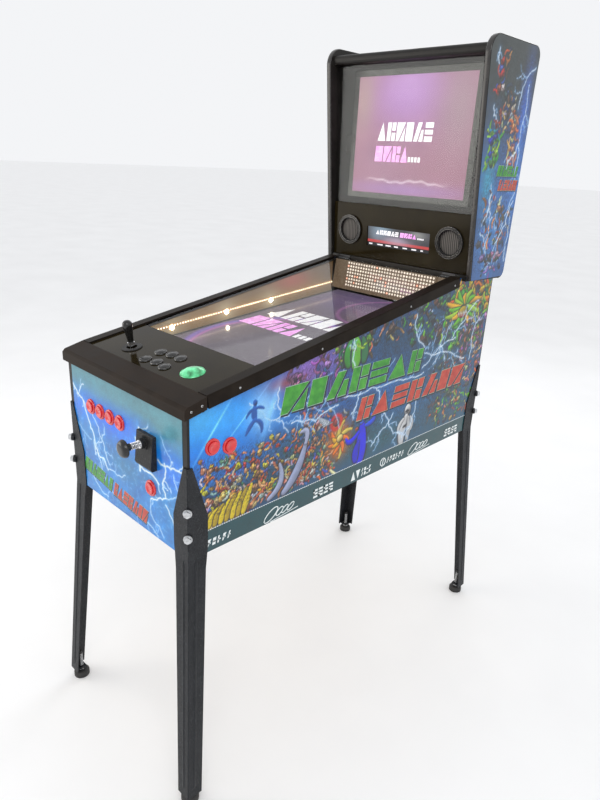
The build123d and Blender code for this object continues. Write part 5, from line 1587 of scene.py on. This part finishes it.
def speaker_cloth():
    """Domed cloth, inner ring and bright beads of both speakers."""
    shape = Shape()
    for side in SIDES.values():
        place = face_place(side * SPEAKER_X, SPEAKER_UP)
        crown = [(34.0, -2.4)] + [(r, 0.6 - 0.0022 * r * r) for r in np.linspace(34.0, 2.0, 9)] + [(0, 0.6)]
        shape.lathe(place, [(0, -2.4)] + crown, 56)
        inner = [(33.9, 2.0), (33.9, 4.6), (32.6, 5.4), (31.4, 4.6), (31.4, 0.0), (33.9, 0.0)]
        shape.lathe(place, inner, 56, mark=1, closed=True)
        for radius in (35.2, 41.4):
            bead = [(radius + 0.7 * math.cos(t), 6.1 + 0.5 * math.sin(t)) for t in np.linspace(0, 2 * math.pi,
                                                                                               9)[:-1]]
            shape.lathe(place, bead, 72, mark=2, closed=True)
    piece("speaker_cloth", shape, "backbox", [M["cloth"], M["speaker"], M["dark_chrome"]])


speaker_cloth()


# ---------------------------------------------------------------- light strips, dot board and inner walls
def light_strips(side_name, side):
    """Small light chips along a wall, and three brighter lenses."""
    chips, lenses = Shape(), Shape()
    inward = (-side, 0, 0)
    for k in range(int((STRIP_REAR_Y - STRIP_FRONT_Y - 8) / LED_PITCH) + 1):
        y = STRIP_FRONT_Y + 5 + k * LED_PITCH
        place = Place((side * STRIP_HALF, y, strip_height(y)), (0, 1, 0), inward)
        chips.block(place, (-1.7, 1.7), (-1.7, 1.7), (-0.2, 1.1))
    piece(f"led_chips_{side_name}", chips, "cabinet", M["chip"], bevel=0.3)
    for y, z in FLASH_YZ:
        place = Place((side * STRIP_HALF, y, z), (0, 1, 0), inward)
        dome = [(6.5, -0.5)] + [(6.2 * math.cos(t), 5.0 * math.sin(t)) for t in np.linspace(0.05, 1.4, 7)]
        lenses.lathe(place, dome + [(0, 5.0)], 28)
    piece(f"flash_lenses_{side_name}", lenses, "cabinet", M["flash"])


def paint_inner_wall(seed):
    """The well's inner wall as painted light: a warm painted glow along the strip, made uneven, with painted
    pools of light at the flash lenses, a painted red reflection and patches of painted shade.
    """
    art = Canvas((180, 870), (900, 1085), 2.0, seed)
    # The wall's colour is all painted light: brightest along the strip, fading away from it, made uneven by
    # noise.
    strip = strip_height(art.u)
    far = np.abs(art.v - strip)
    grain = cloud_noise(art.u.shape, (5, 16), seed)
    lit = 0.30 + 0.85 * np.exp(-far / 26) + 0.25 * (grain - 0.5)
    tone = np.asarray((0.50, 0.27, 0.062))
    art.rgb = tone * lit[..., None]
    # Painted pools of light around the three flash lenses.
    for y, z in FLASH_YZ:
        art.wash(y, z, (26, 22), (1.0, 0.82, 0.52), 0.8, 1.4)
    # A painted red reflection, then two patches of painted shade.
    art.wash(690, 1026, (70, 26), (0.62, 0.12, 0.06), 0.85)
    art.wash(850, 1030, (50, 60), (0.20, 0.12, 0.07), 0.7)
    art.wash(230, 950, (60, 40), (0.26, 0.16, 0.05), 0.5)
    return art


def inner_wall(side_name, side):
    """The inner wall above the playfield display, glowing with its painted light."""
    art = paint_inner_wall(41 + side)
    ys = np.linspace(189, 863, 220)
    rows = []
    for t in np.linspace(0, 1, 34):
        rows.append([(side * (INNER - SKIN), y, wall_height(y, t))
                     for y in ys])
    skin(f"inner_wall_{side_name}", rows, painted(art, rows, 1, 2), "cabinet", M["lit_wall"],
         (side * 2 * SKIN, 0, 0))


def dot_board():
    """Eight rows of thirty-two lenses on the raised board at the back of the well."""
    (y0, z0), (y1, z1) = (866.0, 992.0), (877.0, 1077.0)
    length = math.dist((y0, z0), (y1, z1))
    board = Place((0, y0, z0), (1, 0, 0), (0, -(z1 - z0), y1 - y0))
    rng = random.Random(8)
    white, warm = Shape(), Shape()
    rows, columns = 8, 32
    pitch_x, pitch_y = 312.0 / columns, 75.0 / rows
    for row in range(rows):
        for column in range(columns):
            x = (column + 0.5) * pitch_x - 156.0
            up = length - 76.0 + (row + 0.5) * pitch_y
            place = board.moved(x, up, 5.0)
            dome = ((3.1, -0.2), (3.05, 0.4), (2.5, 1.1), (1.4, 1.5), (0, 1.7))
            target = warm if rng.random() < 0.08 else white
            target.lathe(place, dome, 12)
    piece("dot_board_lenses", white, "cabinet", M["dot"])
    piece("dot_board_warm_lenses", warm, "cabinet", M["dot_warm"])


for side_name, side in SIDES.items():
    light_strips(side_name, side)
    inner_wall(side_name, side)
dot_board()


# ---------------------------------------------------------------- trims, legs and rear
def edge_trim(side_name, side):
    """Rounded plastic edging along the backbox side's front, top and rear edges."""
    inner, outer = BACKBOX_INNER + 0.3, BACKBOX_HALF - 0.3
    section = ((inner, -0.6), (inner, 0.3), (inner + 1.2, 1.3), (inner + 4, 1.8), (outer - 4, 1.8),
               (outer - 1.2, 1.3),
               (outer, 0.3), (outer, -0.6))
    path = BACKBOX_EDGE
    middle = Vector((960, 1360))
    rows = []
    for k, point in enumerate(path):
        ahead = (path[min(k + 1, len(path) - 1)] - path[max(k - 1, 0)]).normalized()
        away = Vector((ahead.y, -ahead.x))
        if away.dot(point - middle) < 0:
            away = -away
        rows.append([(side * x, point.x + away.x * out, point.y + away.y * out) for x, out in section])
    shape = Shape()
    shape.strip(rows, closed=True, capped=True)
    piece(f"backbox_edging_{side_name}", shape, "backbox", M["edging"], smooth_angle=50)


def leg_point(z):
    """How far a leg's outer corner stands outside the cabinet's corner."""
    return LEG_SPLAY * (BOTTOM - z) / BOTTOM + 3.0


def leg_ribs():
    """Pressed ribs down both flanges of each leg."""
    shape = Shape()
    section = ((-4.2, -0.3), (-3.4, 0.9), (-1.6, 1.7), (1.6, 1.7), (3.4, 0.9), (4.2, -0.3))
    levels = [RIB_HIGH + 6] + list(np.linspace(RIB_HIGH, RIB_LOW, 8)) + [RIB_LOW - 6]
    for side in SIDES.values():
        for rear in (False, True):
            for flange in ("front", "side"):
                rows = []
                for k, z in enumerate(levels):
                    size = 0.25 if k in (0, len(levels) - 1) else 1.0
                    out = leg_point(z)
                    row = []
                    for along, high in section:
                        inset = 17.5 + along * size
                        proud = high * size - 0.2
                        x, y = (HALF + out - inset, -out - proud) if flange == "front" else (
                            HALF + out + proud, -out + inset)
                        row.append((side * x, LENGTH - y if rear else y, z))
                    rows.append(row)
                shape.strip(rows, closed=True, capped=True)
    piece("leg_ribs", shape, "cabinet", M["leg"], smooth_angle=60)


def leveller_nuts():
    """Lock nuts and thread rings on the four levellers."""
    shape = Shape()
    for corner in ("front_right", "front_left", "rear_right", "rear_left"):
        low, high = machine_box(f"leveller_{corner}")
        place = Place(((low.x + high.x) / 2, (low.y + high.y) / 2, 0), (1, 0, 0), (0, 0, 1))
        hexagon = [(9.5 * math.cos(k * math.pi / 3), 9.5 * math.sin(k * math.pi / 3)) for k in range(6)]
        shape.prism(place, hexagon, 19.0, 24.8)
        for k in range(9):
            shape.lathe(place, ((5.0, 31 + 4.5 * k), (5.7, 32 + 4.5 * k), (5.0, 33 + 4.5 * k)), 20)
    piece("leveller_nuts", shape, "cabinet", M["zinc"], bevel=0.6)


def rear_trims():
    """Upright bars behind the cabinet's vent slots."""
    shape = Shape()
    for x in (-60.0, 0.0, 60.0):
        shape.block(Place((x, LENGTH - 13, 0), (-1, 0, 0), (0, 1, 0)), (-3, 3), (855, 975), (0, 4))
    piece("rear_vent_bars", shape, "cabinet", M["moulded"], bevel=0.6)


for side_name, side in SIDES.items():
    edge_trim(side_name, side)
leg_ribs()
leveller_nuts()
rear_trims()


# ---------------------------------------------------------------- camera, stage and light
CAMERA_X, CAMERA_Z, CAMERA_BEFORE = 1.0955, 1.3564, 0.6184
CAMERA_YAW, CAMERA_PITCH, CAMERA_ROLL = (math.radians(a) for a in (43.689, 20.795, 2.939))
LENS, SENSOR = 28.47, 36.0


def make_camera():
    """The photograph's camera."""
    ahead = Vector((-math.sin(CAMERA_YAW) * math.cos(CAMERA_PITCH),
                    math.cos(CAMERA_YAW) * math.cos(CAMERA_PITCH),
                    -math.sin(CAMERA_PITCH)))
    right = ahead.cross(UP).normalized()
    above = right.cross(ahead)
    turned_right = right * math.cos(CAMERA_ROLL) + above * math.sin(CAMERA_ROLL)
    turned_up = above * math.cos(CAMERA_ROLL) - right * math.sin(CAMERA_ROLL)
    data = bpy.data.cameras.new("camera")
    data.lens = LENS
    data.sensor_width = SENSOR
    data.sensor_fit = "AUTO"
    camera = bpy.data.objects.new("camera", data)
    turn = Matrix((turned_right, turned_up, -ahead)).transposed().to_4x4()
    camera.matrix_world = Matrix.Translation((CAMERA_X, FACE_Y - CAMERA_BEFORE, CAMERA_Z)) @ turn
    bpy.context.scene.collection.objects.link(camera)
    bpy.context.scene.camera = camera


def area_light(name, place, target, size, power, colour=(1, 1, 1)):
    """A soft rectangular light turned to a point."""
    data = bpy.data.lights.new(name, "AREA")
    data.shape = "RECTANGLE"
    data.size, data.size_y = size
    data.energy = power
    data.color = colour
    light = bpy.data.objects.new(name, data)
    light.location = place
    light.rotation_euler = (Vector(target) - Vector(place)).to_track_quat("-Z", "Y").to_euler()
    bpy.context.scene.collection.objects.link(light)


def make_stage():
    """The pale floor and the world's soft light."""
    reach = 60.0
    mesh = bpy.data.meshes.new("floor")
    mesh.from_pydata([(-reach, -reach, 0), (reach, -reach, 0), (reach, reach, 0), (-reach, reach, 0)], [],
                     [(0, 1, 2, 3)])
    floor = bpy.data.objects.new("floor", mesh)
    mesh.materials.append(finish("pale_floor", (0.90, 0.90, 0.90), (0.94, 0.94, 0.94), (0.8, 0.9), 2, 60,
                                 0.02, 0.2))
    bpy.context.scene.collection.objects.link(floor)
    world = bpy.data.worlds.new("studio")
    world.use_nodes = True
    world.node_tree.nodes["Background"].inputs["Color"].default_value = (0.97, 0.98, 1.0, 1)
    world.node_tree.nodes["Background"].inputs["Strength"].default_value = 0.93
    bpy.context.scene.world = world


make_camera()
make_stage()
bpy.context.scene.view_settings.view_transform = "Standard"
area_light("key", (2.6, -2.2, 3.2), (0, 0, 0.9), (2.4, 1.8), 34)
area_light("window", (-2.05, -2.0, 1.35), (0.0, 0.3, 1.3), (1.7, 1.7), 21, (1.0, 0.95, 0.86))
area_light("rear", (-1.0, 2.8, 2.6), (0, 0.4, 1.0), (2.0, 1.4), 16)
